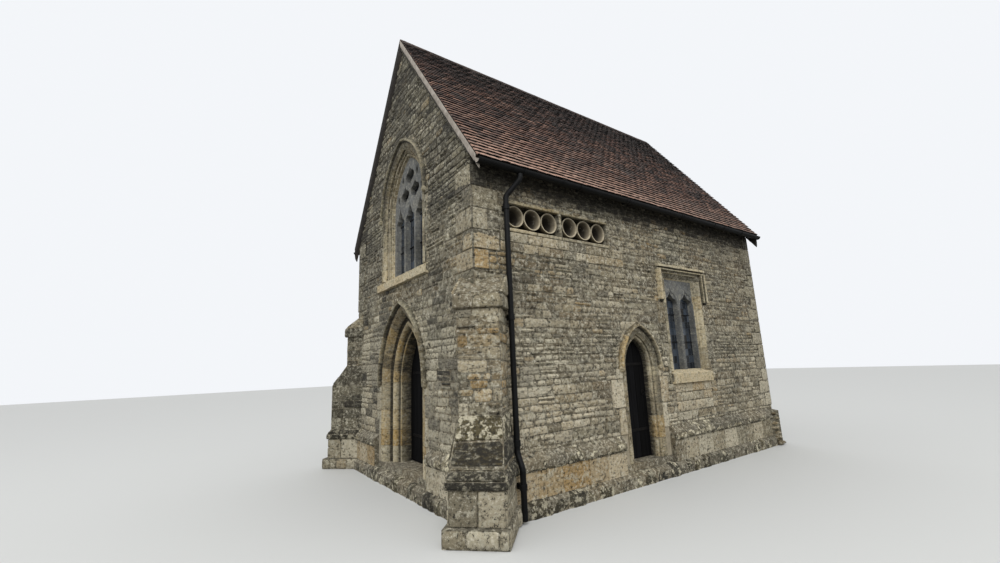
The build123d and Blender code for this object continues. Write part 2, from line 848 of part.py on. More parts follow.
def buttress(side, weathering):
    """Stages from the footing to the cap, kept clear of the walls."""
    foot, shoulder = weathering
    extrude(stage(side, 0, footing_reach, footing_half), amount=lift(side, footing_level))
    extrude(stage(side, footing_level, butt_plinth_reach - plinth_nose + plinth_face,
                  butt_plinth_half - plinth_nose + plinth_face),
            amount=lift(side, nose_level - footing_level))
    extrude(stage(side, nose_level, butt_plinth_reach, butt_plinth_half),
            amount=lift(side, nose_height))
    loft([stage(side, nose_level + nose_height, butt_plinth_reach, butt_plinth_half).face(),
          stage(side, plinth_top, lower_reach, lower_half).face()], ruled=True)
    extrude(stage(side, plinth_top, lower_reach, lower_half), amount=lift(side, foot - plinth_top))
    loft([stage(side, foot, lower_reach, lower_half).face(),
          stage(side, shoulder, buttress_reach, buttress_half).face()], ruled=True)
    extrude(stage(side, shoulder, buttress_reach, buttress_half),
            amount=lift(side, cap_level - shoulder))
    extrude(stage(side, cap_level, buttress_reach + cap_reach, buttress_half + cap_reach),
            amount=lift(side, cap_height))
    loft([stage(side, cap_level + cap_height, buttress_reach + cap_reach,
                buttress_half + cap_reach).face(),
          stage(side, cap_top, -buttress_half, buttress_half + cap_reach).face()], ruled=True)
    in_wall(front, panel(-half_width, half_width, 0, wall_head), 0, body_length, Mode.SUBTRACT)


with BuildPart() as front_right_buttress:
    buttress(1, near_weathering)
finish(front_right_buttress, "front_right_buttress")

with BuildPart() as front_left_buttress:
    buttress(-1, far_weathering)
finish(front_left_buttress, "front_left_buttress")

# Broken stubs where the back corners' buttresses have gone
with BuildPart() as back_corner_stubs:
    for side in (-1, 1):
        corner = Plane(origin=(side * half_width, y_back, 0),
                       x_dir=(side * diagonal, diagonal, 0), z_dir=(0, 0, 1))
        with BuildSketch(corner) as plan:
            with Locations(((stub_reach - wall) / 2, 0)):
                Rectangle(stub_reach + wall, stub_half * 2)
        extrude(plan.sketch, amount=stub_height)
    in_wall(front, panel(-half_width, half_width, 0, wall_head), 0, body_length, Mode.SUBTRACT)
finish(back_corner_stubs, "back_corner_stubs")


# Plinth course
footing_section = [(0, 0), (-plinth_footing, 0), (-plinth_footing, footing_level - footing_fall),
                   (-plinth_face, footing_level)]
plinth_section = footing_section + [
    (-plinth_face, nose_level - nose_throat), (-plinth_nose, nose_level),
    (-plinth_nose, nose_level + nose_height), (0, plinth_top)]


def course(face, section, x_from, x_to):
    """A run of one section, depth and level, along a wall face."""
    side = Plane(origin=face.from_local_coords((x_from, 0, 0)), x_dir=face.y_dir,
                 z_dir=face.x_dir)
    with BuildSketch(side) as cut:
        with BuildLine():
            Polyline(*section, close=True)
        make_face()
    extrude(cut.sketch, amount=x_to - x_from)


def plinth(face, x_from, x_to, doorway=None):
    """A run of the plinth, down to its footing alone under a doorway."""
    if doorway:
        course(face, plinth_section, x_from, doorway[0])
        course(face, footing_section + [(0, footing_level)], *doorway)
        course(face, plinth_section, doorway[1], x_to)
    else:
        course(face, plinth_section, x_from, x_to)


def inside_flank(half):
    """Distance from a corner, along a wall, that is still inside a diagonal block."""
    return half / diagonal - plinth_footing - plinth_lap


with BuildPart() as plinth_course:
    door_edge = front_stone + plinth_door_gap
    front_end = half_width - inside_flank(lower_half - buttress_shift)
    side_end = inside_flank(lower_half + buttress_shift)
    stub_end = inside_flank(stub_half)
    side_door_edge = side_stone + plinth_door_gap
    plinth(front, -front_end, front_end, (-door_edge, door_edge))
    plinth(right, side_end, body_length - stub_end,
           (side_door_middle - side_door_edge, side_door_middle + side_door_edge))
    plinth(left, stub_end, body_length - side_end)
    plinth(back, -half_width + stub_end, half_width - stub_end)
    add(front_right_buttress.part, mode=Mode.SUBTRACT)
    add(front_left_buttress.part, mode=Mode.SUBTRACT)
    add(back_corner_stubs.part, mode=Mode.SUBTRACT)
finish(plinth_course, "plinth_course")

# Roof
slope_end = half_width + eaves_overhang
covering_outline = outline_of(
    (0, ridge_height), (slope_end, slope_top(slope_end)),
    (slope_end - covering * slope_sin, slope_top(slope_end) - covering * slope_cos),
    (0, slope_under(0)))

with BuildPart() as right_roof_slope:
    in_wall(front, covering_outline, -verge_overhang, body_length + verge_overhang)
finish(right_roof_slope, "right_roof_slope")

with BuildPart() as left_roof_slope:
    add(right_roof_slope.part)
    mirror(about=Plane.YZ, mode=Mode.REPLACE)
finish(left_roof_slope, "left_roof_slope")

with BuildPart() as ridge_tiles:
    leg_x = ridge_tile_leg * slope_cos
    leg_z = ridge_tile_leg * slope_sin
    out_x = ridge_tile_thickness * slope_sin
    out_z = ridge_tile_thickness * slope_cos
    with BuildSketch(elevation(front, -verge_overhang)) as ridge_cut:
        add(outline_of(
            (0, ridge_height), (leg_x, ridge_height - leg_z),
            (leg_x + out_x, ridge_height - leg_z + out_z),
            (0, ridge_height + ridge_tile_thickness / slope_cos),
            (-leg_x - out_x, ridge_height - leg_z + out_z), (-leg_x, ridge_height - leg_z)))
        fillet(ridge_cut.vertices().sort_by(Axis.Y)[-1], radius=ridge_tile_round)
    extrude(amount=-(body_length + verge_overhang * 2))
finish(ridge_tiles, "ridge_tiles")

plate_outer = half_width - plate_inset
plate_top = wall_head + plate_height
tail_end = half_width + rafter_tail
notch_start = (rafter_under(0) - plate_top) / rise_per_run
level_cut_start = (rafter_under(0) - rafter_foot_level) / rise_per_run
rafter_outline = outline_of(
    (0, slope_under(0)), (0, rafter_under(0)), (notch_start, plate_top),
    (plate_outer, plate_top), (plate_outer, rafter_under(plate_outer)),
    (level_cut_start, rafter_foot_level), (tail_end, rafter_foot_level),
    (tail_end, slope_under(tail_end)))
rafter_gap = (body_length - wall * 2 - rafter_width) / (rafter_count - 1)
rafter_places = [wall + number * rafter_gap for number in range(rafter_count)]

with BuildPart() as right_rafters:
    for place in rafter_places:
        in_wall(front, rafter_outline, place, place + rafter_width)
finish(right_rafters, "right_rafters")

with BuildPart() as left_rafters:
    add(right_rafters.part)
    mirror(about=Plane.YZ, mode=Mode.REPLACE)
finish(left_rafters, "left_rafters")

collar_low = (rafter_under(0) - collar_level) / rise_per_run
collar_high = (rafter_under(0) - collar_level - collar_depth) / rise_per_run
collar_outline = outline_of(
    (-collar_low, collar_level), (collar_low, collar_level),
    (collar_high, collar_level + collar_depth), (-collar_high, collar_level + collar_depth))
with BuildPart() as collars:
    for place in rafter_places:
        in_wall(front, collar_outline, place, place + rafter_width)
finish(collars, "collars")

with BuildPart() as wall_plates:
    in_wall(front, panel(plate_outer - plate_width, plate_outer, wall_head, plate_top),
            wall, body_length - wall)
    mirror(about=Plane.YZ)
finish(wall_plates, "wall_plates")

with BuildPart() as verge_fillets:
    fall = verge_fillet_depth / slope_cos
    in_wall(front, outline_of(
        (0, slope_under(0)), (half_width, slope_under(half_width)),
        (half_width, slope_under(half_width) - fall), (0, slope_under(0) - fall),
        (-half_width, slope_under(half_width) - fall), (-half_width, slope_under(half_width))),
        -verge_fillet_reach, 0)
    mirror(about=across)
finish(verge_fillets, "verge_fillets")

# Gutters, their brackets and the downpipes
gutter_axis_x = slope_end
gutter_axis_z = slope_top(slope_end) - gutter_drop
with BuildPart() as gutters:
    with BuildSketch(elevation(front, -verge_overhang)) as channel:
        with Locations((gutter_axis_x, gutter_axis_z)):
            Circle(gutter_radius)
            Circle(gutter_radius - gutter_metal, mode=Mode.SUBTRACT)
        with Locations((gutter_axis_x, gutter_axis_z + gutter_radius / 2)):
            Rectangle(gutter_radius * 2, gutter_radius, mode=Mode.SUBTRACT)
    extrude(amount=-(body_length + verge_overhang * 2))
    mirror(about=Plane.YZ)
finish(gutters, "gutters")

bracket_gap = (rafter_count - 1) / (bracket_count - 1)
bracket_places = [rafter_places[round(number * bracket_gap)] for number in range(bracket_count)]
with BuildPart() as gutter_brackets:
    cradle = gutter_radius + bracket_metal
    for place in bracket_places:
        with BuildSketch(elevation(front, place)) as strap:
            with Locations((gutter_axis_x, gutter_axis_z)):
                Circle(cradle)
            add(panel(tail_end, gutter_axis_x, gutter_axis_z - cradle, gutter_axis_z))
            with Locations((gutter_axis_x, gutter_axis_z)):
                Circle(gutter_radius, mode=Mode.SUBTRACT)
            with Locations((gutter_axis_x, gutter_axis_z + cradle / 2)):
                Rectangle(cradle * 2, cradle, mode=Mode.SUBTRACT)
            add(panel(tail_end - cradle * 2, tail_end, 0, ridge_height), mode=Mode.SUBTRACT)
        extrude(amount=-bracket_width)
    mirror(about=Plane.YZ)
finish(gutter_brackets, "gutter_brackets")

pipe_x = half_width + pipe_stand_off + pipe_radius
low_pipe_x = half_width + plinth_footing + pipe_radius + pipe_stand_off / 3
outlet_y = y_front + outlet_from_front
pipe_y = y_front + pipe_from_front


def pipe_collar(x, level, ear_from):
    """A collar round the pipe, with an ear back to the wall if it starts there."""
    with BuildSketch(Plane.XY.offset(level)) as cut:
        with Locations((x, pipe_y)):
            Circle(collar_radius)
        if x > ear_from:
            with Locations(((ear_from + x) / 2, pipe_y)):
                Rectangle(x - ear_from, ear_width)
    extrude(cut.sketch, amount=collar_height)


def eased(points, ease):
    """A run of straight lengths with each corner cut, as cast bends are."""
    corners = [Vector(*point) for point in points]
    run = [corners[0]]
    for before, corner, after in zip(corners, corners[1:], corners[2:]):
        run.append(corner + (before - corner).normalized() * ease)
        run.append(corner + (after - corner).normalized() * ease)
    return run + [corners[-1]]


with BuildPart() as downpipes:
    top = gutter_axis_z - gutter_radius
    with BuildLine() as run:
        Polyline(*eased([
            (gutter_axis_x, outlet_y, top), (gutter_axis_x, outlet_y, top - pipe_bend),
            (pipe_x, pipe_y, pipe_neck_top), (pipe_x, pipe_y, pipe_plinth_neck),
            (low_pipe_x, pipe_y, pipe_plinth_neck - pipe_neck_drop),
            (low_pipe_x, pipe_y, pipe_shoe_level)], pipe_bend / 3))
    with BuildSketch(Plane(origin=run.line @ 0, z_dir=run.line % 0)):
        RegularPolygon(pipe_radius, pipe_sides)
    sweep(path=run.line, transition=Transition.RIGHT)
    for level in ear_levels:
        pipe_collar(pipe_x, level, half_width)
    pipe_collar(pipe_x, pipe_plinth_neck + pipe_bend, pipe_x)
    pipe_collar(low_pipe_x, low_ear_level, half_width + plinth_face)
    mirror(about=Plane.YZ)
finish(downpipes, "downpipes")

# Door leaves: planks under a pointed head, hung on pins behind the jambs
with BuildPart() as front_door:
    start = front_leaf_depth + leaf_gap
    in_wall(front, pointed(0, front_leaf_half, front_centre, floor_level + leaf_foot_gap,
                           front_door_springing), start, start + leaf_thickness)
finish(front_door, "front_door")

with BuildPart() as side_door:
    start = side_leaf_depth + leaf_gap
    in_wall(right, pointed(side_door_middle, side_leaf_half, side_centre, floor_level + leaf_foot_gap,
                           side_door_springing), start, start + leaf_thickness)
finish(side_door, "side_door")


def pin_place(x, leaf_half, leaf_depth):
    """Where a leaf's pin stands: outside its edge, level with its inner face."""
    return (x - leaf_half - eye_radius - eye_gap,
            leaf_depth + leaf_gap + leaf_thickness + pin_behind)


def ironwork(face, x, leaf_half, opening_half, leaf_depth):
    """Straps on both faces of a leaf, eyes round the pins, and a ring handle."""
    pin_x, pin_depth = pin_place(x, leaf_half, leaf_depth)
    outer = leaf_depth + leaf_gap
    inner = outer + leaf_thickness
    reach = opening_half * strap_share
    for level in strap_levels:
        low = floor_level + level
        in_wall(face, panel(x - reach, x + reach, low, low + strap_width),
                outer - strap_metal, outer)
        in_wall(face, panel(pin_x, x + reach, low, low + eye_height), inner,
                inner + strap_metal)
        with BuildSketch(face.offset(low)) as eye:
            with Locations((pin_x, pin_depth)):
                Circle(eye_radius)
        extrude(eye.sketch, amount=eye_height)
        with BuildSketch(face.offset(low)) as bore:
            with Locations((pin_x, pin_depth)):
                Circle(pin_radius + pin_clearance)
        extrude(bore.sketch, amount=eye_height, mode=Mode.SUBTRACT)
    handle = elevation(face, outer)
    middle = (x + opening_half * ring_place, floor_level + ring_height)
    with BuildSketch(handle) as rose:
        with Locations(middle):
            Circle(rose_radius)
    extrude(rose.sketch, amount=strap_metal)
    with BuildSketch(elevation(face, outer - strap_metal)) as ring:
        with Locations((middle[0], middle[1] - ring_radius / 2)):
            Circle(ring_radius)
            Circle(ring_radius - ring_wire * 2, mode=Mode.SUBTRACT)
    extrude(ring.sketch, amount=ring_wire * 2)


with BuildPart() as front_door_ironwork:
    ironwork(front, 0, front_leaf_half, front_inner_half, front_leaf_depth)
finish(front_door_ironwork, "front_door_ironwork")

with BuildPart() as side_door_ironwork:
    ironwork(right, side_door_middle, side_leaf_half, side_inner_half, side_leaf_depth)
finish(side_door_ironwork, "side_door_ironwork")


def pintles(face, x, leaf_half, leaf_depth, jamb):
    """Upright pins on tangs that are let into the embrasure's jamb."""
    pin_x, pin_depth = pin_place(x, leaf_half, leaf_depth)
    for level in strap_levels:
        low = floor_level + level
        with BuildSketch(face.offset(low - pin_below)) as pin:
            with Locations((pin_x, pin_depth)):
                Circle(pin_radius)
        extrude(pin.sketch, amount=pin_height)
        with BuildSketch(face.offset(low - pin_below)) as tang:
            with Locations(((x - jamb + pin_x) / 2, pin_depth)):
                Rectangle(pin_x - x + jamb, pin_radius * 2)
        extrude(tang.sketch, amount=tang_height)


with BuildPart() as door_pintles:
    pintles(front, 0, front_leaf_half, front_leaf_depth, front_embrasure)
    pintles(right, side_door_middle, side_leaf_half, side_leaf_depth, side_embrasure)
finish(door_pintles, "door_pintles")
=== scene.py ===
from collections import namedtuple
from math import acos, cos, pi, radians, sin, sqrt, tan
from random import Random

import bmesh
import bpy
from bpy.props import FloatProperty, FloatVectorProperty, IntProperty, PointerProperty
from mathutils import Matrix, Vector, noise


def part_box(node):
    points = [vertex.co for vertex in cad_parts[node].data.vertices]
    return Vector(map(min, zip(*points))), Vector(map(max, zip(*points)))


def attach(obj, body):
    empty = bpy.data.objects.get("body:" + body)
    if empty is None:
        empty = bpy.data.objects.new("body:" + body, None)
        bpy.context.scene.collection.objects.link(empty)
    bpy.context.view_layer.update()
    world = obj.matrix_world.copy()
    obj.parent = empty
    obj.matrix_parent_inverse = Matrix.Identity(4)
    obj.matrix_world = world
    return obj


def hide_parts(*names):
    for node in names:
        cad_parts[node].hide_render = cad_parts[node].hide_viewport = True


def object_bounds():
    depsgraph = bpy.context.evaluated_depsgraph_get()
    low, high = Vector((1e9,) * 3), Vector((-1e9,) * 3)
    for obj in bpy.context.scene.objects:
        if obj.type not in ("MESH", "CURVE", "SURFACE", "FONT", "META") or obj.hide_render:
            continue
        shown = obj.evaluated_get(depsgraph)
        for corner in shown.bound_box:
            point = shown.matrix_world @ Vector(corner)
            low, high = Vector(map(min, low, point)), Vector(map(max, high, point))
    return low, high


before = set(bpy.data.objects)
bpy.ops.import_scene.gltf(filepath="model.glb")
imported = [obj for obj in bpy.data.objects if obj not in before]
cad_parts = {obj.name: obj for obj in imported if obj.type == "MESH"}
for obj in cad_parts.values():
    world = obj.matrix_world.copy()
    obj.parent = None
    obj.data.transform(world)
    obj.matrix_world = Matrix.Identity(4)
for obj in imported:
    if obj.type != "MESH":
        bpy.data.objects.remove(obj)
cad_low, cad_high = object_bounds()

bl_info = {
    "name": "Small stone chapel",
    "version": (1, 0, 0),
    "blender": (4, 5, 0),
    "location": "View3D > Sidebar > Chapel",
    "description": "Dresses the chapel with coursed stones, worked dressings, tiles and glazing",
    "category": "Object",
}

# Levels and places read from the frame
half_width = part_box("right_wall_under_window")[1].x
y_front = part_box("front_wall_sides")[0].y
body_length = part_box("back_wall")[1].y - y_front
wall_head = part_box("right_wall_top")[1].z
wall_depth = half_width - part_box("right_wall_under_window")[0].x
course_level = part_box("right_wall_front")[1].z
floor_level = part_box("floor")[1].z
plinth_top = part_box("plinth_course")[1].z
slope_low, slope_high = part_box("right_roof_slope")
ridge_height = slope_high.z
slope_end = slope_high.x

# Sizes of the worked stone and the roof, in metres, and the pitch in radians
ROOF_PITCH = radians(54)
COVERING = 0.06
JAMB_STONE = 0.2
FRONT_DOOR_SPRINGING = 1.65
SIDE_DOOR_SPRINGING = 1.76
GABLE_SPRINGING = 4.75
SIDE_WINDOW_HALF = 0.545
HOOD_INNER = 0.07
FOOTING_LEVEL = 0.19
FOOTING_FALL = 0.04
NOSE_LEVEL = 0.56
NOSE_HEIGHT = 0.085
PLINTH_FACE = 0.07
PLINTH_NOSE = 0.1
PLINTH_FOOTING = 0.13
JAMB_BASE = 0.57
CAP_LEVEL = 2.58
CAP_HEIGHT = 0.175
CAP_TOP = 3.06
NEAR_WEATHERING = (0.78, 1.3)
FAR_WEATHERING = (1.6, 2.0)
BUTTRESS_SHIFT = 0.06
POT_SILL = 3.757
POT_BED = POT_SILL - 0.05
POT_MARGIN = 0.03
POT_RUN = 1.02
CORNER_LONG = 0.42
CORNER_SHORT = 0.24
CORNER_STONE = 0.27
CORNER_CLEAR = 0.06
RING = 0.075
GLASS_SET_BACK = 0.095
MULLION = 0.072
SIDE_LIGHT_SPRINGING = 2.88
SIDE_LIGHT_APEX = 3.185
OGEE_TURN = 0.62
OGEE_ROUND = 0.68
JOINT_DEPTH = 0.012

# Openings, along each face from its left-hand corner
front_door_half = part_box("front_doorway")[1].x - JAMB_STONE
side_door_low, side_door_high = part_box("side_doorway")
side_door_middle = (side_door_low.y + side_door_high.y) / 2 - y_front
side_door_half = (side_door_high.y - side_door_low.y) / 2 - JAMB_STONE
surround_low, surround_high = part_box("pointed_window_surrounds")
gable_half = surround_high.x - JAMB_STONE
gable_sill = surround_low.z
gable_sill_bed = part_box("back_gable_sides")[0].z
gable_inner_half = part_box("pointed_window_tracery")[1].x
gable_inner_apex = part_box("pointed_window_tracery")[1].z
gable_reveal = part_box("pointed_window_tracery")[0].y - y_front
window_low, window_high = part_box("square_window_surrounds")
side_window_middle = (window_low.y + window_high.y) / 2 - y_front
side_surround_half = (window_high.y - window_low.y) / 2
side_window_sill = window_low.z
sill_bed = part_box("right_wall_under_window")[1].z
tracery_low, tracery_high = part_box("square_window_tracery")
side_inner_half = (tracery_high.y - tracery_low.y) / 2
side_inner_head = tracery_high.z
side_reveal = half_width - tracery_high.x
label_low, label_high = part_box("square_window_labels")
label_half = (label_high.y - label_low.y) / 2
hood_reach = label_high.x - half_width
pot_low, pot_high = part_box("clay_pots")
pot_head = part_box("pot_panel")[1].z
pot_groups = ((pot_low.y - y_front - POT_MARGIN, pot_low.y - y_front - POT_MARGIN + POT_RUN),
              (pot_high.y - y_front + POT_MARGIN - POT_RUN, pot_high.y - y_front + POT_MARGIN))


def arch_centre(half, rise):
    """How far past the middle line each arc of a pointed arch is struck from."""
    return (rise * rise - half * half) / (2 * half)


def slope_top(x):
    """Level of the covering's top face at a distance from the ridge line."""
    return ridge_height - abs(x) * tan(ROOF_PITCH)


def slope_under(x):
    return slope_top(x) - COVERING / cos(ROOF_PITCH)


front_centre = arch_centre(front_door_half + JAMB_STONE,
                           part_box("front_doorway")[1].z - FRONT_DOOR_SPRINGING)
side_centre = arch_centre(side_door_half + JAMB_STONE, side_door_high.z - SIDE_DOOR_SPRINGING)
gable_centre = arch_centre(gable_half + JAMB_STONE, surround_high.z - GABLE_SPRINGING)


# Meshes
class Heap:
    """Points, faces and marks of one piece while it is laid."""

    def __init__(self):
        self.points = []
        self.marks = []
        self.faces = []
        self.slots = []
        self.finish = 0

    def add(self, points, faces, mark, slot=None):
        slot = self.finish if slot is None else slot
        start = len(self.points)
        self.points.extend(points)
        self.marks.extend([mark] * len(points))
        for face in faces:
            self.faces.append([start + corner for corner in face])
            self.slots.append(slot)

    def add_rings(self, rings, mark, slot=None, capped=True, dirt_and_shade=()):
        """Joins closed rings of equal length, with a face over each end; dirt_and_shade is one share a
        point, for real soiling and for painted shade.
        """
        count = len(rings[0])
        faces = []
        for ring in range(len(rings) - 1):
            for number in range(count):
                following = (number + 1) % count
                faces.append((ring * count + number, ring * count + following,
                              (ring + 1) * count + following, (ring + 1) * count + number))
        if capped:
            faces.append(tuple(range(count))[::-1])
            faces.append(tuple((len(rings) - 1) * count + number for number in range(count)))
        self.add([point for ring in rings for point in ring], faces, mark, slot)
        first = len(self.marks) - count * len(rings)
        for number, share in enumerate(tuple(dirt_and_shade) * len(rings)):
            self.marks[first + number] = dirtied_and_shaded(mark, share)

    def piece(self, name, finishes, slot, body="building", sharp=35, closed=True):
        """Turns the heap into an object, inside the frame's box, that rides on a body."""
        mesh = bpy.data.meshes.new(name)
        kept = [[min(max(part, low), high) for part, low, high in zip(point, cad_low, cad_high)]
                for point in self.points]
        mesh.from_pydata(kept, [], self.faces)
        marks = mesh.attributes.new("mark", "FLOAT_COLOR", "POINT")
        marks.data.foreach_set("color", [part for mark in self.marks for part in mark])
        for finish in finishes:
            mesh.materials.append(bpy.data.materials[finish])
        mesh.polygons.foreach_set("material_index", self.slots)
        mesh.update()
        if closed:
            turn_outward(mesh)
        mesh.polygons.foreach_set("use_smooth", [True] * len(mesh.polygons))
        mesh.set_sharp_from_angle(angle=radians(sharp))
        thing = placed(name, mesh)
        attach(thing, body)
        return thing


def dirtied_and_shaded(mark, share):
    """A mark with less tone and warmth and more stain and olive: real soiling, and painted shade in
    hollows and under ledges.
    """
    return (unit(mark[0] - share * 0.6), mark[1] * (1 - share * 0.4), unit(mark[2] + share * 0.85),
            unit(mark[3] + share * 0.4))


def turn_outward(mesh):
    """Makes the faces of closed shapes look outward."""
    shapes = bmesh.new()
    shapes.from_mesh(mesh)
    bmesh.ops.recalc_face_normals(shapes, faces=shapes.faces)
    shapes.to_mesh(mesh)
    shapes.free()


class Face:
    """A flat face of stonework: x along it, z up it, and proud outward."""

    def __init__(self, origin, along, up):
        self.origin = Vector(origin)
        self.along = Vector(along)
        self.up = Vector(up)
        self.out = self.along.cross(self.up)

    def at(self, x, z, proud=0.0):
        return self.origin + self.along * x + self.up * z + self.out * proud


y_back = y_front + body_length
front = Face((0, y_front, 0), (1, 0, 0), (0, 0, 1))
back = Face((0, y_back, 0), (-1, 0, 0), (0, 0, 1))
right = Face((half_width, y_front, 0), (0, 1, 0), (0, 0, 1))
left = Face((-half_width, y_back, 0), (0, -1, 0), (0, 0, 1))


def circle(face, x, z, radius, proud, count):
    """A ring of points on a face."""
    return [face.at(x + radius * cos(2 * pi * turn / count),
                    z + radius * sin(2 * pi * turn / count), proud) for turn in range(count)]


def between(a, b, share):
    return a + (b - a) * share


def middle_of(outline):
    return (sum(x for x, z in outline) / len(outline), sum(z for x, z in outline) / len(outline))


def unit(value):
    return min(max(value, 0.0), 1.0)


def patch(x, z, size, seed):
    """A slow wander between 0 and 1 over a face."""
    return unit(noise.noise(Vector((x / size, z / size, seed))) * 0.9 + 0.5)


# Stones
LEDGED = ["Coursed rubble limestone", "Lichened ledge limestone"]
DRESSED = ["Dressed limestone"]
BEDDED = ["Dressed limestone", "Lime mortar"]
PLAIN = (0.5, 0.0, 0.0, 0.0)
# The length of a stone that takes the whole of a face
IN_ONE = 1.2
# How stones of one kind are worked: a course over split_over may be laid as two thin beds
Kind = namedtuple("Kind", "proud_from proud_to joint cut wear split_over split_chance",
                  defaults=(9.0, 0.0))
RUBBLE = Kind(0.001, 0.02, 0.004, 0.034, 0.024, 0.095, 0.14)
ASHLAR = Kind(0.014, 0.02, 0.003, 0.014, 0.012)
ROUGH = Kind(0.006, 0.034, 0.005, 0.04, 0.028)


def knocked(corners, cut, rng):
    """An outline whose corners are knocked off, anticlockwise."""
    outline = []
    count = len(corners)
    for number, (x, z) in enumerate(corners):
        for neighbour in (corners[number - 1], corners[(number + 1) % count]):
            dx, dz = neighbour[0] - x, neighbour[1] - z
            reach = max(sqrt(dx * dx + dz * dz), 1e-6)
            share = min(cut * rng.uniform(0.25, 1.0) / reach, 0.4)
            outline.append((x + dx * share, z + dz * share))
    return outline


def lay_stone(heap, face, corners, rng, mark, kind):
    """One stone: its bed outline, a worn arris and a slightly crowned, uneven face."""
    middle_x, middle_z = middle_of(corners)

    def drawn_in(points, by):
        moved = []
        for x, z in points:
            dx, dz = x - middle_x, z - middle_z
            moved.append((x - (1 if dx > 0 else -1) * min(by, abs(dx) * 0.8),
                          z - (1 if dz > 0 else -1) * min(by, abs(dz) * 0.8)))
        return moved

    proud = rng.uniform(kind.proud_from, kind.proud_to)
    bed = knocked(drawn_in(corners, kind.joint * rng.uniform(0.6, 1.3)), kind.cut, rng)
    arris = drawn_in(bed, kind.wear * 0.3)
    crown = drawn_in(bed, kind.wear)
    tilt_x = rng.uniform(-0.02, 0.02)
    tilt_z = rng.uniform(-0.06, 0.06)
    points = [face.at(x, z, -JOINT_DEPTH) for x, z in bed]
    points += [face.at(x, z, proud * rng.uniform(0.35, 0.7)) for x, z in arris]
    points += [face.at(x, z, proud + (x - middle_x) * tilt_x + (z - middle_z) * tilt_z
                       + rng.uniform(-0.003, 0.003)) for x, z in crown]
    points.append(face.at(middle_x, middle_z, proud + kind.wear * 0.25))
    count = len(bed)
    faces = []
    for ring in (0, count):
        for number in range(count):
            following = (number + 1) % count
            faces.append((ring + number, ring + following, ring + count + following,
                          ring + count + number))
    for number in range(count):
        faces.append((count * 2 + number, count * 2 + (number + 1) % count, count * 3))
    heap.add(points, faces, mark)


def levels_between(stops, least, most, rng):
    """Course lines that meet each of the given levels."""
    stops = sorted(stops)
    levels = [stops[0]]
    for low, high in zip(stops, stops[1:]):
        if high - low < least / 2:
            continue
        low = levels[-1]
        count = max(1, round((high - low) / rng.uniform(least, most)))
        steps = [rng.uniform(least, most) for number in range(count)]
        scale = (high - low) / sum(steps)
        for step in steps:
            levels.append(levels[-1] + step * scale)
    return levels


def taken_at(holes, low, high):
    """Stretches of a course that openings take, each as bottom and top ends."""
    taken = []
    for hole in holes:
        bottom, middle, top = hole(low + 0.002), hole((low + high) / 2), hole(high - 0.002)
        known = bottom or middle or top
        if known:
            centre = (known[0] + known[1]) / 2
            bottom = bottom or middle or (centre, centre)
            top = top or (centre, centre)
            taken.append((bottom[0], top[0], bottom[1], top[1]))
    return sorted(taken)


def free_stretches(limits, holes, low, high):
    """What is left of a course between its limits and the openings."""
    start_low, end_low = limits(low)
    start_high, end_high = limits(high)
    stretches = []
    for from_low, from_high, to_low, to_high in taken_at(holes, low, high):
        if from_low + from_high > start_low + start_high:
            stretches.append((start_low, start_high, from_low, from_high))
        if to_low + to_high > start_low + start_high:
            start_low, start_high = to_low, to_high
    stretches.append((start_low, start_high, end_low, end_high))
    return [ends for ends in stretches if (ends[2] + ends[3]) - (ends[0] + ends[1]) > 0.06]


def stones_along(stretch, length, rng):
    """Corners of each stone in a stretch, with upright joints between slanted ends."""
    start_low, start_high, end_low, end_high = stretch
    joints = []
    x = max(start_low, start_high) + length() * rng.uniform(0.5, 1.0)
    while x < min(end_low, end_high) - 0.07:
        lean = rng.uniform(-0.006, 0.006)
        joints.append((x + lean, x - lean))
        x += length()
    ends = [(start_low, start_high)] + joints + [(end_low, end_high)]
    return [(a[0], b[0], b[1], a[1]) for a, b in zip(ends, ends[1:])]


def lay_courses(heap, face, levels, limits, holes, rng, kind, tint, longest):
    """Fills a face with coursed stones, and lays some of them as two thin beds."""
    wander = rng.uniform(0, 50)

    def line(x, number):
        if number in (0, len(levels) - 1):
            return levels[number]
        return levels[number] + 0.022 * noise.noise(Vector((x * 2.3, number * 3.7, wander)))

    for number, (low, high) in enumerate(zip(levels, levels[1:])):
        def length():
            if longest >= IN_ONE:
                return longest
            return min(max((high - low) * rng.uniform(1.0, 3.6), 0.07), longest)

        for stretch in free_stretches(limits, holes, low, high):
            for x0, x1, x2, x3 in stones_along(stretch, length, rng):
                corners = [(x0, line(x0, number)), (x1, line(x1, number)),
                           (x2, line(x2, number + 1)), (x3, line(x3, number + 1))]
                beds = [corners]
                if high - low > kind.split_over and rng.random() < kind.split_chance:
                    share = rng.uniform(0.35, 0.65)
                    near = tuple(between(a, b, share) for a, b in zip(corners[0], corners[3]))
                    far = tuple(between(a, b, share) for a, b in zip(corners[1], corners[2]))
                    beds = [[corners[0], corners[1], far, near], [near, far, corners[2], corners[3]]]
                for bed in beds:
                    lay_stone(heap, face, bed, rng, tint(*middle_of(bed), rng), kind)


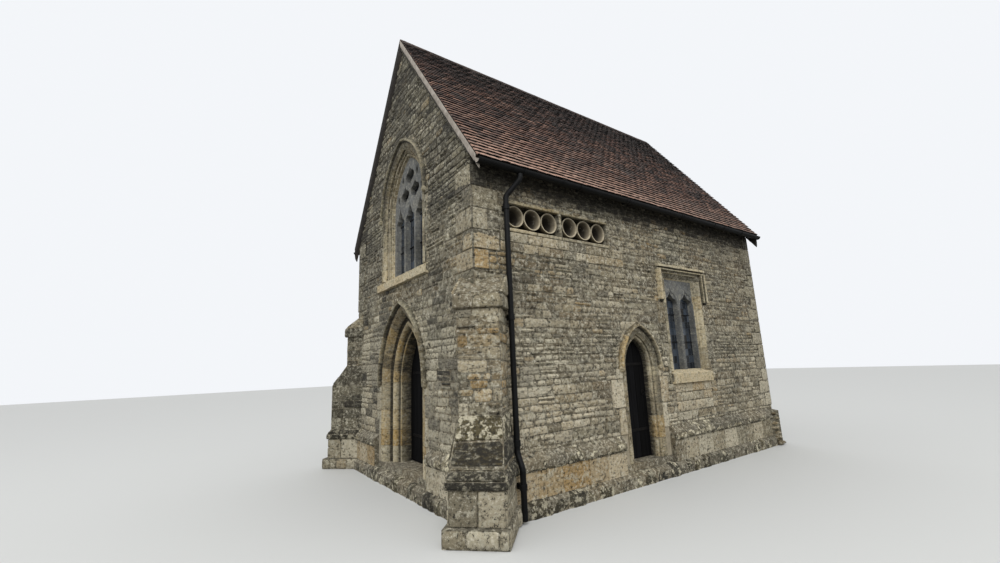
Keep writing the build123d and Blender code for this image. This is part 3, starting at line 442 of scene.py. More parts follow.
class Tint:
    """Marks for the stones of one face: tone, warmth, grime_and_shade and olive, each 0 to 1; the
    third is real staining together with painted shade.
    """

    def __init__(self, seed, warm=0.16, grime_and_shade=0.2, olive=0.1, pale=0.0, warm_at=(), grime_and_shade_at=(),
                 pale_at=()):
        self.seed = seed
        self.warm = warm
        self.grime_and_shade = grime_and_shade
        self.olive = olive
        self.pale = pale
        self.warm_at = warm_at
        self.grime_and_shade_at = grime_and_shade_at
        self.pale_at = pale_at

    def near(self, spots, x, z):
        """Strength of the spots, each given by its middle, its spreads and its strength."""
        total = 0.0
        for spot_x, spot_z, spread_x, spread_z, strength in spots:
            away = ((x - spot_x) / spread_x) ** 2 + ((z - spot_z) / spread_z) ** 2
            total += strength * max(0.0, 1 - away)
        return total

    def __call__(self, x, z, rng):
        warm = self.warm * patch(x, z, 0.8, self.seed) * 2 + self.near(self.warm_at, x, z)
        grime_and_shade = self.grime_and_shade * patch(x, z, 0.5, self.seed + 7) * 2 + self.near(self.grime_and_shade_at, x, z)
        if rng.random() < 0.05:
            warm += 0.3
        tone = patch(x, z, 1.6, self.seed + 3) * 0.5 + 0.25 + rng.uniform(-0.38, 0.38) + self.pale
        tone += self.near(self.pale_at, x, z)
        return (unit(tone), unit(warm * rng.uniform(0.5, 1.5)), unit(grime_and_shade * rng.uniform(0.6, 1.4)),
                unit(self.olive + rng.uniform(-0.08, 0.12)))


# A spot's spread that takes in a whole face
WHOLE = 30.0
# On the right and left walls, the stain spot across the whole face at the wall head is partly soot and
# partly painted shade of the eaves.
right_tint = Tint(1, warm=0.12, pale=-0.05,
                  warm_at=((0.25, 3.35, 0.6, 0.28, 0.75), (5.0, 1.25, 0.8, 0.45, 0.25),
                           (0.3, 2.0, 0.5, 0.5, 0.15)),
                  grime_and_shade_at=((3.7, 4.85, WHOLE, 0.6, 2.2), (6.2, 4.2, 1.8, 0.8, 0.3)),
                  pale_at=((3.7, 0.9, WHOLE, 1.5, 0.3), (7.0, 3.0, 2.6, 3.0, -0.15)))
left_tint = Tint(11, olive=0.3, grime_and_shade_at=((3.7, 4.8, WHOLE, 0.5, 1.2),))
# The front gable keeps its own olive grey. It is darkened overall as painted shade of that side, and
# its first pale spot is a painted band of light over the lower wall.
front_tint = Tint(21, warm=0.06, grime_and_shade=0.42, olive=0.36, pale=-0.36,
                  warm_at=((2.1, 3.4, 0.6, 0.25, 0.6), (0.0, 3.2, 1.6, 0.3, 0.2),
                           (-1.5, 1.0, 0.5, 0.6, 0.2)),
                  grime_and_shade_at=((2.2, 2.3, 0.5, 1.6, 0.2), (0, 8.0, 1.4, 1.6, 0.3)),
                  pale_at=((0.0, 0.7, WHOLE, 2.6, 1.2), (1.4, 1.0, 0.7, 1.4, 0.6),
                           (2.2, 3.6, 0.6, 1.6, 0.4)))
back_tint = Tint(31, olive=0.35, grime_and_shade=0.3, pale=-0.12)
dressing_tint = Tint(41, warm=0.14, grime_and_shade=0.2, olive=0.14, pale=0.12)
pale_tint = Tint(45, warm=0.2, grime_and_shade=0.05, olive=0.02, pale=0.5)
buttress_tint = Tint(51, warm=0.16, grime_and_shade=0.24, olive=0.2, pale=0.05,
                     warm_at=((0, 2.2, 2, 0.14, 0.8), (0, 1.65, 0.2, 0.2, 0.6)))
plinth_tint = Tint(61, warm=0.12, grime_and_shade=0.16, olive=0.1, pale=0.2,
                   warm_at=((1.6, 0.35, 1.7, 0.6, 0.85), (-1.5, 0.35, 0.9, 0.6, 0.6)))
block_tint = Tint(65, warm=0.06, grime_and_shade=0.1, olive=0.1, pale=0.3)
# The far buttress is darker all over as painted shade, besides its own olive and stains.
far_tint = Tint(55, warm=0.04, grime_and_shade=0.42, olive=0.3, pale=-0.28)
slope_tint = Tint(71, warm=0.35, grime_and_shade=0.3, olive=0.3, pale=-0.05)
footing_tint = Tint(69, warm=0.12, grime_and_shade=0.4, olive=0.4, pale=-0.05)
ledge_tint = Tint(67, warm=0.1, grime_and_shade=0.16, olive=0.12, pale=0.42)
soot_tint = Tint(73, warm=0.05, grime_and_shade=0.8, olive=0.4, pale=-0.3)
weathered_tint = Tint(77, warm=0.15, grime_and_shade=0.7, olive=0.5, pale=-0.3)
door_tint = Tint(43, warm=0.6, grime_and_shade=0.28, olive=0.1, pale=0.12)
hood_tint = Tint(75, warm=0.08, grime_and_shade=0.3, olive=0.3)


# Openings, as the stretch that each takes at a level
def arch_hole(x, half, centre, foot, springing):
    """An arched opening with its ring of worked stones."""
    reach = half + RING

    def hole(level):
        if level < foot:
            return None
        if level <= springing:
            return (x - reach, x + reach)
        spread = (reach + centre) ** 2 - (level - springing) ** 2
        if spread <= centre ** 2:
            return None
        wide = sqrt(spread) - centre
        return (x - wide, x + wide)
    return hole


def box_hole(x_from, x_to, z_from, z_to):
    """A square opening or a block of worked stones."""
    def hole(level):
        return (x_from, x_to) if z_from < level < z_to else None
    return hole


def quoins(heap, face, edge, side, levels, rng, tint, short, long, group):
    """Squared stones beside an opening, long and short by turns; returns what they take."""
    taken = []
    start = number = 0
    while start < len(levels) - 1:
        end = min(start + group + (rng.random() < 0.4), len(levels) - 1)
        reach = (long if number % 2 else short) * rng.uniform(0.85, 1.15)
        taken.append(squared(heap, face, edge, side * reach, levels[start], levels[end], rng, tint))
        start = end
        number += 1
    return taken


def rub_and_highlight(mark, share):
    """The mark of a squared stone: a little paler, with a share of the grime."""
    return (unit(mark[0] + 0.08), mark[1], mark[2] * share, mark[3])


def squared(heap, face, edge, reach, low, high, rng, tint):
    """One squared stone that reaches from an edge; returns what it takes."""
    x_from, x_to = sorted((edge, edge + reach))
    mark = rub_and_highlight(tint((x_from + x_to) / 2, (low + high) / 2, rng), 0.8)
    lay_stone(heap, face, [(x_from, low), (x_to, low), (x_to, high), (x_from, high)], rng, mark,
              ASHLAR)
    return box_hole(x_from, x_to, low, high)


def corner_rows(low):
    """Levels of the corner stones, and whether each is long on the side wall."""
    rows = []
    for start, end in ((low + CORNER_CLEAR, course_level), (course_level, wall_head - CORNER_CLEAR)):
        count = round((end - start) / CORNER_STONE)
        rows += [(between(start, end, number / count), between(start, end, (number + 1) / count),
                  number % 2 == 1) for number in range(count)]
    return rows


def corner_stones(heap, face, edge, side, rows, on_side, rng, tint):
    """One face of the squared stones up a corner; returns what they take."""
    return [squared(heap, face, edge, side * (CORNER_LONG if long == on_side else CORNER_SHORT),
                    low, high, rng, tint) for low, high, long in rows]


def ashlar_patch(heap, face, x_from, x_to, z_from, z_to, rng, tint):
    """A patch of larger squared stones in the rubble; returns what it takes."""
    levels = levels_between([z_from, z_to], 0.13, 0.2, rng)
    for low, high in zip(levels, levels[1:]):
        for x0, x1, x2, x3 in stones_along((x_from, x_from, x_to, x_to),
                                           lambda: rng.uniform(0.16, 0.42), rng):
            mark = rub_and_highlight(tint((x0 + x2) / 2, (low + high) / 2, rng), 0.4)
            lay_stone(heap, face, [(x0, low), (x1, low), (x2, high), (x3, high)], rng, mark, ASHLAR)
    return box_hole(x_from, x_to, z_from, z_to)


def apart(stops, least=0.045):
    """The stops in order, without those too close above another."""
    kept = []
    for stop in sorted(stops):
        if not kept or stop - kept[-1] >= least:
            kept.append(stop)
    return kept


def gable_limits(level):
    """Ends of the gable wall at a level, under the covering."""
    if level <= slope_under(half_width):
        return (-half_width, half_width)
    wide = max((slope_under(0) - level) / tan(ROOF_PITCH), 0.01)
    return (-wide, wide)


def lay_side_wall(name, face, seed, tint, with_doorway, sizes):
    """The rubble, corner stones and openings of a long wall."""
    rng = Random(seed)
    heap = Heap()
    front_rows, back_rows = corner_rows(CAP_TOP), corner_rows(plinth_top)
    stops = [plinth_top, sill_bed, side_window_sill, label_low.z, POT_BED, label_high.z,
             pot_head, wall_head] + [row[0] for row in back_rows]
    levels = levels_between(apart(stops), sizes.course_least, sizes.course_most, rng)
    middle = side_window_middle if with_doorway else body_length - side_window_middle
    holes = [box_hole(middle - side_surround_half, middle + side_surround_half, sill_bed,
                      label_high.z),
             box_hole(middle - label_half, middle + label_half, label_low.z, label_high.z)]
    near, far = (0.0, body_length) if with_doorway else (body_length, 0.0)
    inward = 1 if with_doorway else -1
    holes += corner_stones(heap, face, near, inward, front_rows, True, rng, tint)
    holes += corner_stones(heap, face, far, -inward, back_rows, True, rng, tint)
    if with_doorway:
        holes.append(arch_hole(side_door_middle, side_door_half, side_centre, 0,
                               SIDE_DOOR_SPRINGING))
        holes += [box_hole(low, high, POT_BED, pot_head) for low, high in pot_groups]
        jambs = [z for z in levels if z < SIDE_DOOR_SPRINGING]
        for side, short, long in ((-1, 0.14, 0.3), (1, 0.13, 0.24)):
            holes += quoins(heap, face, side_door_middle + side * (side_door_half + RING), side,
                            jambs, rng, pale_tint, short, long, 3)
        under = [z for z in levels if z <= sill_bed + 0.01 and z > 0.86]
        holes.append(ashlar_patch(heap, face, middle - side_surround_half + 0.07,
                                  middle + side_surround_half - 0.02, under[0], sill_bed, rng,
                                  pale_tint))
        holes.append(ashlar_patch(heap, face, pot_groups[0][0] - 0.1, pot_groups[1][1] + 0.35,
                                  label_high.z - 0.17, POT_BED, rng, tint))
    beside = [z for z in levels if sill_bed - 0.02 <= z <= label_low.z + 0.02]
    for side in (-1, 1):
        holes += quoins(heap, face, middle + side * side_surround_half, side, beside, rng, tint,
                        0.07, 0.2, 4)
    lay_courses(heap, face, levels, lambda level: (0.0, body_length), holes, rng, RUBBLE, tint,
                sizes.stone_longest)
    heap.piece(name, ["Coursed rubble limestone"], "rubble_limestone", closed=False)


def lay_end_wall(name, face, seed, tint, with_doorway, sizes):
    """The rubble, corner stones and gable of an end wall."""
    rng = Random(seed)
    heap = Heap()
    rows = corner_rows(CAP_TOP if with_doorway else plinth_top)
    stops = [plinth_top, gable_sill_bed, gable_sill, wall_head, slope_under(0) - 0.03]
    levels = levels_between(apart(stops + [row[0] for row in rows]), sizes.course_least,
                            sizes.course_most, rng)
    holes = [arch_hole(0, gable_half, gable_centre, gable_sill_bed, GABLE_SPRINGING)]
    beside = [z for z in levels if gable_sill <= z <= GABLE_SPRINGING + 0.05]
    for side in (-1, 1):
        holes += corner_stones(heap, face, side * half_width, -side, rows, False, rng, tint)
        holes += quoins(heap, face, side * (gable_half + RING), side, beside, rng, tint,
                        0.06, 0.17, 4)
    if with_doorway:
        holes.append(arch_hole(0, front_door_half, front_centre, 0, FRONT_DOOR_SPRINGING))
        jambs = [z for z in levels if z < FRONT_DOOR_SPRINGING + 0.1]
        for side in (-1, 1):
            holes += quoins(heap, face, side * (front_door_half + RING), side, jambs, rng,
                            tint, 0.08, 0.24, 3)
    lay_courses(heap, face, levels, gable_limits, holes, rng, RUBBLE, tint, sizes.stone_longest)
    heap.piece(name, ["Coursed rubble limestone"], "rubble_limestone", closed=False)


# Worked stones round the arches
def on_arch(x, side, half, centre, springing, offset, station):
    """A point beside an arched opening: stations below 0 go down the jamb, 0 to 1 round the arc."""
    if station < 0:
        return (x + side * (half + offset), springing + station)
    reach = half + centre + offset
    angle = acos(centre / reach) * station
    return (x + side * (reach * cos(angle) - centre), springing + reach * sin(angle))


def lay_arch_block(heap, face, arch, side, section, start, end, rng, mark, slot=0, worn=0.003,
                   steps=3, soiled=0.0, dirt_and_shade=()):
    """One worked stone of a moulding between two stations, its face on the wall more soiled and its
    hollows darkened as painted shade.
    """
    x, half, centre, springing = arch
    shift = rng.uniform(0, worn)
    rings = []
    for step in range(steps + 1):
        station = between(start, end, step / steps)
        ring = []
        for offset, depth in section:
            px, pz = on_arch(x, side, half, centre, springing, offset, station)
            lost = worn * (0.6 + noise.noise(Vector((px * 9, pz * 9, offset * 30)))) + shift
            ring.append(face.at(px, pz, -depth - lost))
        rings.append(ring)
    # By default the wall face takes the soiling, and each hollow takes painted shade by how far it
    # lies back.
    dirt_and_shade = dirt_and_shade or [soiled if offset >= 0 else behind for (offset, depth), behind
                    in zip(section, hollows(section))]
    heap.add_rings(rings, mark, slot, True, dirt_and_shade)


def hollows(section):
    """How far each point lies behind the line from a moulding's outer to its inner arris, 0 to 1; it
    is the share of painted shade in the hollows.
    """
    outer, inner = section[2], section[-3]
    slope = (inner[1] - outer[1]) / min(inner[0] - outer[0], -0.001)
    return [unit((depth - outer[1] - (offset - outer[0]) * slope - 0.004) / 0.035)
            for offset, depth in section]


def arch_length(half, centre):
    reach = half + centre
    return acos(centre / reach) * reach


def lay_arch(heap, face, arch, section, foot, rng, tint, jamb_block, arch_block, joint=0.0025,
             worn=0.003, tone=0.0, soiled=0.0, dirt_and_shade=()):
    """Jamb stones and voussoirs of one moulding on both sides of an opening."""
    x, half, centre, springing = arch
    around = arch_length(half, centre)
    for side in (-1, 1):
        ends = [foot - springing]
        while ends[-1] < -1e-6:
            step = jamb_block * rng.uniform(0.7, 1.3)
            ends.append(0.0 if ends[-1] + step > -jamb_block * 0.4 else ends[-1] + step)
        stretches = [(a + joint, b - joint, 1) for a, b in zip(ends, ends[1:])]
        clean = rng.uniform(0.35, 0.6)
        count = max(2, round(around / arch_block))
        shares = [0.0]
        for number in range(count):
            shares.append(shares[-1] + rng.uniform(0.8, 1.2))
        shares = [share / shares[-1] for share in shares]
        gap = joint / around
        stretches += [(a + gap, b - gap, 3) for a, b in zip(shares, shares[1:])]
        for start, end, steps in stretches:
            px, pz = on_arch(x, side, half, centre, springing, 0, (start + end) / 2)
            mark = tint(px, pz, rng)
            mark = (unit(mark[0] + tone),) + mark[1:]
            lay_arch_block(heap, face, arch, side, section, start, end, rng, mark, worn=worn,
                           steps=steps, soiled=soiled if start > -clean else soiled * 0.3,
                           dirt_and_shade=dirt_and_shade)


def lay_arch_bed(heap, face, arch, section, foot):
    """The mortar behind a ring of worked stones."""
    still = Random(0)
    springing = arch[3]
    for side in (-1, 1):
        if springing > foot:
            lay_arch_block(heap, face, arch, side, section, foot - springing, -1e-4, still, PLAIN,
                           slot=1, worn=0.0, steps=1)
        lay_arch_block(heap, face, arch, side, section, 0.0, 1.0, still, PLAIN, slot=1, worn=0.0,
                       steps=16)


def roll(offset, depth, radius, start, end, count):
    """Points round a roll or, with its ends swapped, a hollow of a moulding."""
    return [(offset + radius * cos(radians(between(start, end, number / count))),
             depth - radius * sin(radians(between(start, end, number / count))))
            for number in range(count + 1)]


PROUD = 0.012
front_arch = (0.0, front_door_half, front_centre, FRONT_DOOR_SPRINGING)
side_arch = (side_door_middle, side_door_half, side_centre, SIDE_DOOR_SPRINGING)
gable_arch = (0.0, gable_half, gable_centre, GABLE_SPRINGING)
front_mould = ([(RING, 0.39), (RING, -PROUD), (0.0, -PROUD), (-0.11, 0.078),
                (-0.11, 0.1)] + roll(-0.14, 0.1, 0.03, 0, -100, 3)
               + roll(-0.212, 0.15, 0.05, 10, 200, 7)
               + [(-0.27, 0.2), (-0.298, 0.222), (-0.305, 0.2), (-0.33, 0.202), (-0.332, 0.225),
                  (-0.33, 0.39)])
front_bed = [(JAMB_STONE, 0.39), (JAMB_STONE, 0.0), (0.02, 0.0), (-0.1, 0.13), (-0.2, 0.2),
             (-0.32, 0.24), (-0.325, 0.39)]
side_mould = ([(RING, 0.18), (RING, -PROUD), (0.0, -PROUD), (-0.036, 0.024),
               (-0.036, 0.045)] + roll(-0.066, 0.066, 0.022, 30, 190, 5)
              + [(-0.088, 0.09), (-0.089, 0.115), (-0.088, 0.18)])
side_bed = [(JAMB_STONE, 0.18), (JAMB_STONE, 0.0), (0.01, 0.0), (-0.03, 0.06), (-0.08, 0.1),
            (-0.084, 0.18)]
gable_mould = ([(RING, 0.27), (RING, -PROUD), (0.0, -PROUD), (-0.045, 0.03),
                (-0.045, 0.045)] + roll(-0.073, 0.045, 0.028, 0, -90, 3)
               + [(-0.09, 0.073), (-0.1, 0.105)] + roll(-0.126, 0.118, 0.024, 20, 190, 4)
               + [(-0.16, 0.14), (-0.168, 0.15), (-0.169, 0.17), (-0.168, 0.27)])
gable_bed = [(JAMB_STONE, wall_depth), (JAMB_STONE, 0.0), (0.02, 0.0), (-0.09, 0.1),
             (-0.155, 0.15), (-0.165, 0.27), (-0.07, wall_depth)]


def hood_mould(reach):
    """A narrow ridge over a hollow, with a weathered back."""
    return [(HOOD_INNER + across, -reach * share) for across, share in
            ((-0.002, 0.06), (0.0, 0.34), (0.012, 0.4), (0.026, 0.96), (0.044, 1.0), (0.088, 0.4),
             (0.09, 0.06))]


# Shares round the hood's section: the high ones on its underside are painted shade, and those on its
# weathered back are real soiling.
HOOD_SHADE_AND_DIRT = (0.9, 0.9, 0.7, 0.05, 0.0, 0.5, 0.6)


# Stones with one section along a straight run
def lay_run_block(heap, face, section, x_from, x_to, rng, mark, worn, dirt_and_shade):
    """One stone of a run: its section is pairs of proud and level."""
    steps = max(2, round((x_to - x_from) / (0.05 if worn > 0.007 else 0.15)))
    shift = rng.uniform(0, worn)
    rings = []
    for step in range(steps + 1):
        x = between(x_from, x_to, step / steps)
        drawn = 0.8 if step in (0, steps) else 0.0
        ring = []
        for number, (proud, level) in enumerate(section):
            lost = worn * (0.5 + noise.noise(Vector((x * 11, level * 9, number * 5.3)))) + shift
            below = 0 if level <= section[0][1] else (lost + drawn * worn) * 0.7
            ring.append(face.at(x, level - below, proud - lost - drawn * worn))
        rings.append(ring)
    heap.add_rings(rings, mark, dirt_and_shade=dirt_and_shade)


def lay_run(heap, face, section, x_from, x_to, rng, tint, block, joint=0.003, worn=0.004, tone=0.0,
            dirt_and_shade=()):
    """A run of stones of one section along a face."""
    count = max(1, round((x_to - x_from) / block))
    shares = [0.0]
    for number in range(count):
        shares.append(shares[-1] + rng.uniform(0.7, 1.3))
    ends = [between(x_from, x_to, share / shares[-1]) for share in shares]
    for start, end in zip(ends, ends[1:]):
        mark = tint((start + end) / 2, section[0][1], rng)
        lay_run_block(heap, face, section, start + joint, end - joint, rng,
                      (unit(mark[0] + tone),) + mark[1:], worn, dirt_and_shade)


def lay_upright(heap, face, x, section, ends, rng, tint, dirt_and_shade=()):
    """Stones laid one over another; their section is pairs of place along the face and proud."""
    for low, high in zip(ends, ends[1:]):
        rings = [[face.at(across, z, proud) for across, proud in section]
                 for z in (low + 0.002, high - 0.002)]
        heap.add_rings(rings, tint(x, (low + high) / 2, rng), dirt_and_shade=dirt_and_shade)


def lay_plinth():
    """The footing, the squared face and the weathered nosing round the walls."""
    rng = Random(60)
    heap = Heap()
    footing = [(-0.02, 0.0), (PLINTH_FOOTING + 0.03, 0.0), (PLINTH_FOOTING + 0.03, 0.08),
               (PLINTH_FOOTING + 0.022, FOOTING_LEVEL - FOOTING_FALL + 0.01),
               (PLINTH_FACE + 0.02, FOOTING_LEVEL + 0.02), (-0.02, FOOTING_LEVEL + 0.02)]
    upright = [(-0.02, FOOTING_LEVEL + 0.008), (PLINTH_FACE + PROUD, FOOTING_LEVEL + 0.01),
               (PLINTH_FACE + PROUD, NOSE_LEVEL - 0.024), (-0.02, NOSE_LEVEL - 0.024)]
    nosing = [(-0.02, NOSE_LEVEL - 0.02), (PLINTH_FACE, NOSE_LEVEL - 0.018),
              (PLINTH_NOSE + 0.022, NOSE_LEVEL - 0.006), (PLINTH_NOSE + 0.034, NOSE_LEVEL + 0.03),
              (PLINTH_NOSE + 0.028, NOSE_LEVEL + NOSE_HEIGHT),
              (PLINTH_NOSE * 0.62, NOSE_LEVEL + NOSE_HEIGHT + 0.06),
              (0.024, plinth_top + 0.014), (-0.02, plinth_top + 0.014)]
    corner = 0.24
    door_edge = front_door_half + JAMB_STONE + 0.03
    side_from = side_door_middle - side_door_half - JAMB_STONE - 0.03
    side_to = side_door_middle + side_door_half + JAMB_STONE + 0.03
    reach = half_width - corner
    runs = ((front, -reach, -door_edge, False), (front, door_edge, reach, False),
            (right, corner + 0.15, side_from, False),
            (right, side_to, body_length - corner + 0.05, False),
            (front, -door_edge, door_edge, True), (right, side_from, side_to, True),
            (left, corner - 0.05, body_length - corner - 0.15, False),
            (back, -reach - 0.05, reach + 0.05, False))
    for face, x_from, x_to, only_footing in runs:
        heap.finish = 1
        lay_run(heap, face, footing, x_from, x_to, rng, footing_tint, 0.3, joint=0.004, worn=0.024)
        if not only_footing:
            # The nosing's underside is darkened as a painted shadow line; its back against the wall is
            # soiled.
            lay_run(heap, face, nosing, x_from, x_to, rng, ledge_tint, 0.3, joint=0.004, worn=0.026,
                    dirt_and_shade=(1.0, 1.0, 0.7, 0.0, 0.0, 0.0, 0.2, 0.4))
            heap.finish = 0
            tint = block_tint if face is front and x_from > 0 else plinth_tint
            lay_run(heap, face, upright, x_from, x_to, rng, tint, 0.4, worn=0.005, tone=0.1)
    heap.piece("plinth_stones", LEDGED, "ashlar_limestone")


def lay_panel(heap, low_middle, high_middle, out, low_limits, high_limits, rng, kind, tint, sizes,
              level, longest):
    """Courses on one flat panel between a low and a high edge."""
    up = (high_middle - low_middle).normalized()
    height = (high_middle - low_middle).length
    along = Vector((0, 0, 1)).cross(out).normalized()
    face = Face(low_middle, along, up)

    def limits(z):
        share = z / height
        return (between(low_limits[0], high_limits[0], share),
                between(low_limits[1], high_limits[1], share))

    least, most = (0.15, 0.4) if kind is ASHLAR else (sizes.block_least, sizes.block_most)
    if longest >= IN_ONE:
        least, most = 0.3, 0.45
    levels = [0.0, height] if height < least else levels_between([0.0, height], least, most, rng)
    lay_courses(heap, face, levels, limits, [], rng, kind,
                lambda x, z, dice: tint(x, z + level, dice), longest)


def grown(size, reach, half):
    return (size[0] + reach, size[1] + half)


def lay_buttress(name, side, weathering, seed, sizes):
    """The courses, weatherings and cap stone of a diagonal buttress."""
    rng = Random(seed)
    heap = Heap()
    outward = Vector((side * sqrt(0.5), -sqrt(0.5), 0))
    across = Vector((side * sqrt(0.5), sqrt(0.5), 0))
    base = Vector((side * half_width, y_front, 0)) + across * BUTTRESS_SHIFT
    foot, shoulder = weathering
    body_tint, sloping_tint = ((buttress_tint, weathered_tint) if side > 0 else
                               (far_tint, far_tint))
    nose_top, cap_top = NOSE_LEVEL + NOSE_HEIGHT, CAP_LEVEL + CAP_HEIGHT
    # Reach and half width of each stage
    lower = (sizes.lower_reach, sizes.lower_half)
    upper = (sizes.buttress_reach, sizes.buttress_half)
    footing, faced = grown(lower, 0.13, 0.055), grown(lower, 0.04, 0.005)
    nosing, cap = grown(lower, 0.07, 0.035), grown(upper, 0.035, 0.035)
    stages = ((0.0, footing, FOOTING_LEVEL, footing, ROUGH, block_tint),
              (FOOTING_LEVEL, faced, NOSE_LEVEL, faced, ASHLAR, block_tint),
              (NOSE_LEVEL, nosing, nose_top, nosing, ASHLAR, soot_tint),
              (nose_top, nosing, plinth_top, lower, ROUGH, soot_tint),
              (plinth_top, lower, foot, lower, RUBBLE, body_tint),
              (foot, lower, shoulder, upper, ROUGH, sloping_tint),
              (shoulder, upper, CAP_LEVEL, upper, RUBBLE, body_tint),
              (CAP_LEVEL, cap, cap_top, cap, ASHLAR, body_tint),
              (cap_top, cap, CAP_TOP, (-upper[1], cap[1]), ROUGH, slope_tint))
    for low, (low_reach, low_half), high, (high_reach, high_half), kind, tint in stages:
        if high - low < 0.03:
            continue
        heap.finish = 1 if tint in (soot_tint, weathered_tint) else 0
        in_one = tint is soot_tint or kind is ROUGH and low > FOOTING_LEVEL
        longest = IN_ONE if in_one else 0.4

        def panel(out, low_away, high_away, low_ends, high_ends):
            lay_panel(heap, base + out * low_away + Vector((0, 0, low)),
                      base + out * high_away + Vector((0, 0, high)), out, low_ends, high_ends,
                      rng, kind, tint, sizes, low, longest)

        panel(outward, low_reach, high_reach, (-low_half, low_half), (-high_half, high_half))
        for flank in (-1, 1):
            meet = abs(BUTTRESS_SHIFT + flank * low_half)
            out = across * flank
            turned = Vector((0, 0, 1)).cross(out).dot(outward) > 0
            panel(out, low_half, high_half, *[(-meet, reach) if turned else (-reach, meet)
                                              for reach in (low_reach, high_reach)])
    heap.piece(name, LEDGED, "ashlar_limestone", closed=False)


def lay_lump(heap, middle, size, rng, mark):
    """One broken stone."""
    rings = []
    turn = rng.uniform(0, pi)
    rows, count = 4, 7
    for row in range(rows + 1):
        tip = pi * (row + 0.5) / (rows + 1)
        ring = []
        for number in range(count):
            angle = turn + 2 * pi * number / count
            point = Vector((cos(angle) * sin(tip), sin(angle) * sin(tip), -cos(tip)))
            rough = 0.85 + 0.35 * noise.noise(point * 1.7 + middle * 9)
            ring.append(middle + Vector(a * b for a, b in zip(point * rough, size)))
        rings.append(ring)
    heap.add_rings(rings, mark)


STUB_ROWS = 7
STUB_STONES = 6


def lay_stubs():
    """Torn courses where the back corners' buttresses have gone."""
    rng = Random(80)
    heap = Heap()
    for side in (-1, 1):
        for row in range(STUB_ROWS):
            for number in range(STUB_STONES):
                level = 0.05 + row * 0.098
                reach = rng.uniform(-0.12, 0.0) - row * 0.008
                slide = between(-0.26, 0.26, (number + rng.uniform(0.1, 0.9)) / STUB_STONES)
                corner = Vector((side * half_width, y_back, level))
                outward = Vector((side, 1, 0)).normalized()
                across = Vector((-outward.y, outward.x, 0))
                middle = corner + outward * (0.02 + reach * 0.7) + across * slide
                size = Vector((rng.uniform(0.07, 0.13), rng.uniform(0.07, 0.13),
                               rng.uniform(0.045, 0.07)))
                lay_lump(heap, middle, size, rng, slope_tint(middle.y, middle.z, rng))
    heap.piece("torn_stub_stones", ["Coursed rubble limestone"], "rubble_limestone")


def lay_stop(heap, face, arch, rng, tint):
    """Small rounded stops at both ends of a hood mould."""
    x, half, centre, springing = arch
    for side in (-1, 1):
        middle_x = x + side * (half + HOOD_INNER + 0.045)
        rings = []
        for share, reach in ((0.75, 0.0), (1.0, 0.03), (0.95, 0.05), (0.55, 0.07)):
            rings.append([face.at(middle_x + 0.05 * share * cos(2 * pi * number / 9),
                                  springing - 0.02 + 0.055 * share * sin(2 * pi * number / 9)
                                  + rng.uniform(-0.003, 0.003), reach) for number in range(9)])
        heap.add_rings(rings, tint(middle_x, springing, rng))


def lay_hood(heap, face, arch, reach, rng, tint):
    lay_arch(heap, face, arch, hood_mould(reach), arch[3], rng, tint, 0.4, 0.42, joint=0.002,
             worn=0.005, tone=-0.05, dirt_and_shade=HOOD_SHADE_AND_DIRT)
    lay_stop(heap, face, arch, rng, tint)


def lay_label(heap, face, middle, rng, tint):
    """A square label: two fillets with a hollow between them, level and down both sides."""
    width = 0.1
    top, drop = label_high.z, label_low.z
    section = [(0.0, top - width), (0.052, top - width), (0.056, top - width + 0.026),
               (0.034, top - width + 0.032), (0.03, top - 0.056), (hood_reach - 0.016, top - 0.05),
               (hood_reach - 0.006, top - 0.046), (hood_reach - 0.006, top - 0.006),
               (hood_reach * 0.6, top), (0.0, top)]
    # Painted shade: the label's underside and the hollow between its fillets are darkened.
    dirt_and_shade = (0.9, 0.4, 0.0, 0.9, 1.0, 0.7, 0.0, 0.0, 0.0, 0.1)
    lay_run(heap, face, section, middle - label_half, middle + label_half, rng, tint, 0.55,
            joint=0.002, worn=0.003, tone=0.2, dirt_and_shade=dirt_and_shade)
    for side in (-1, 1):
        edge = middle + side * label_half
        turned = [(edge - side * (top - level), proud) for proud, level in section]
        ends = levels_between([drop, top - width], 0.25, 0.4, rng)
        lay_upright(heap, face, edge, turned, ends, rng, tint, dirt_and_shade)
        stop = edge - side * width / 2
        lay_lump(heap, face.at(stop, drop - 0.012, 0.03), Vector((0.045, 0.045, 0.034)), rng,
                 (0.1, 0.0, 0.9, 0.6))


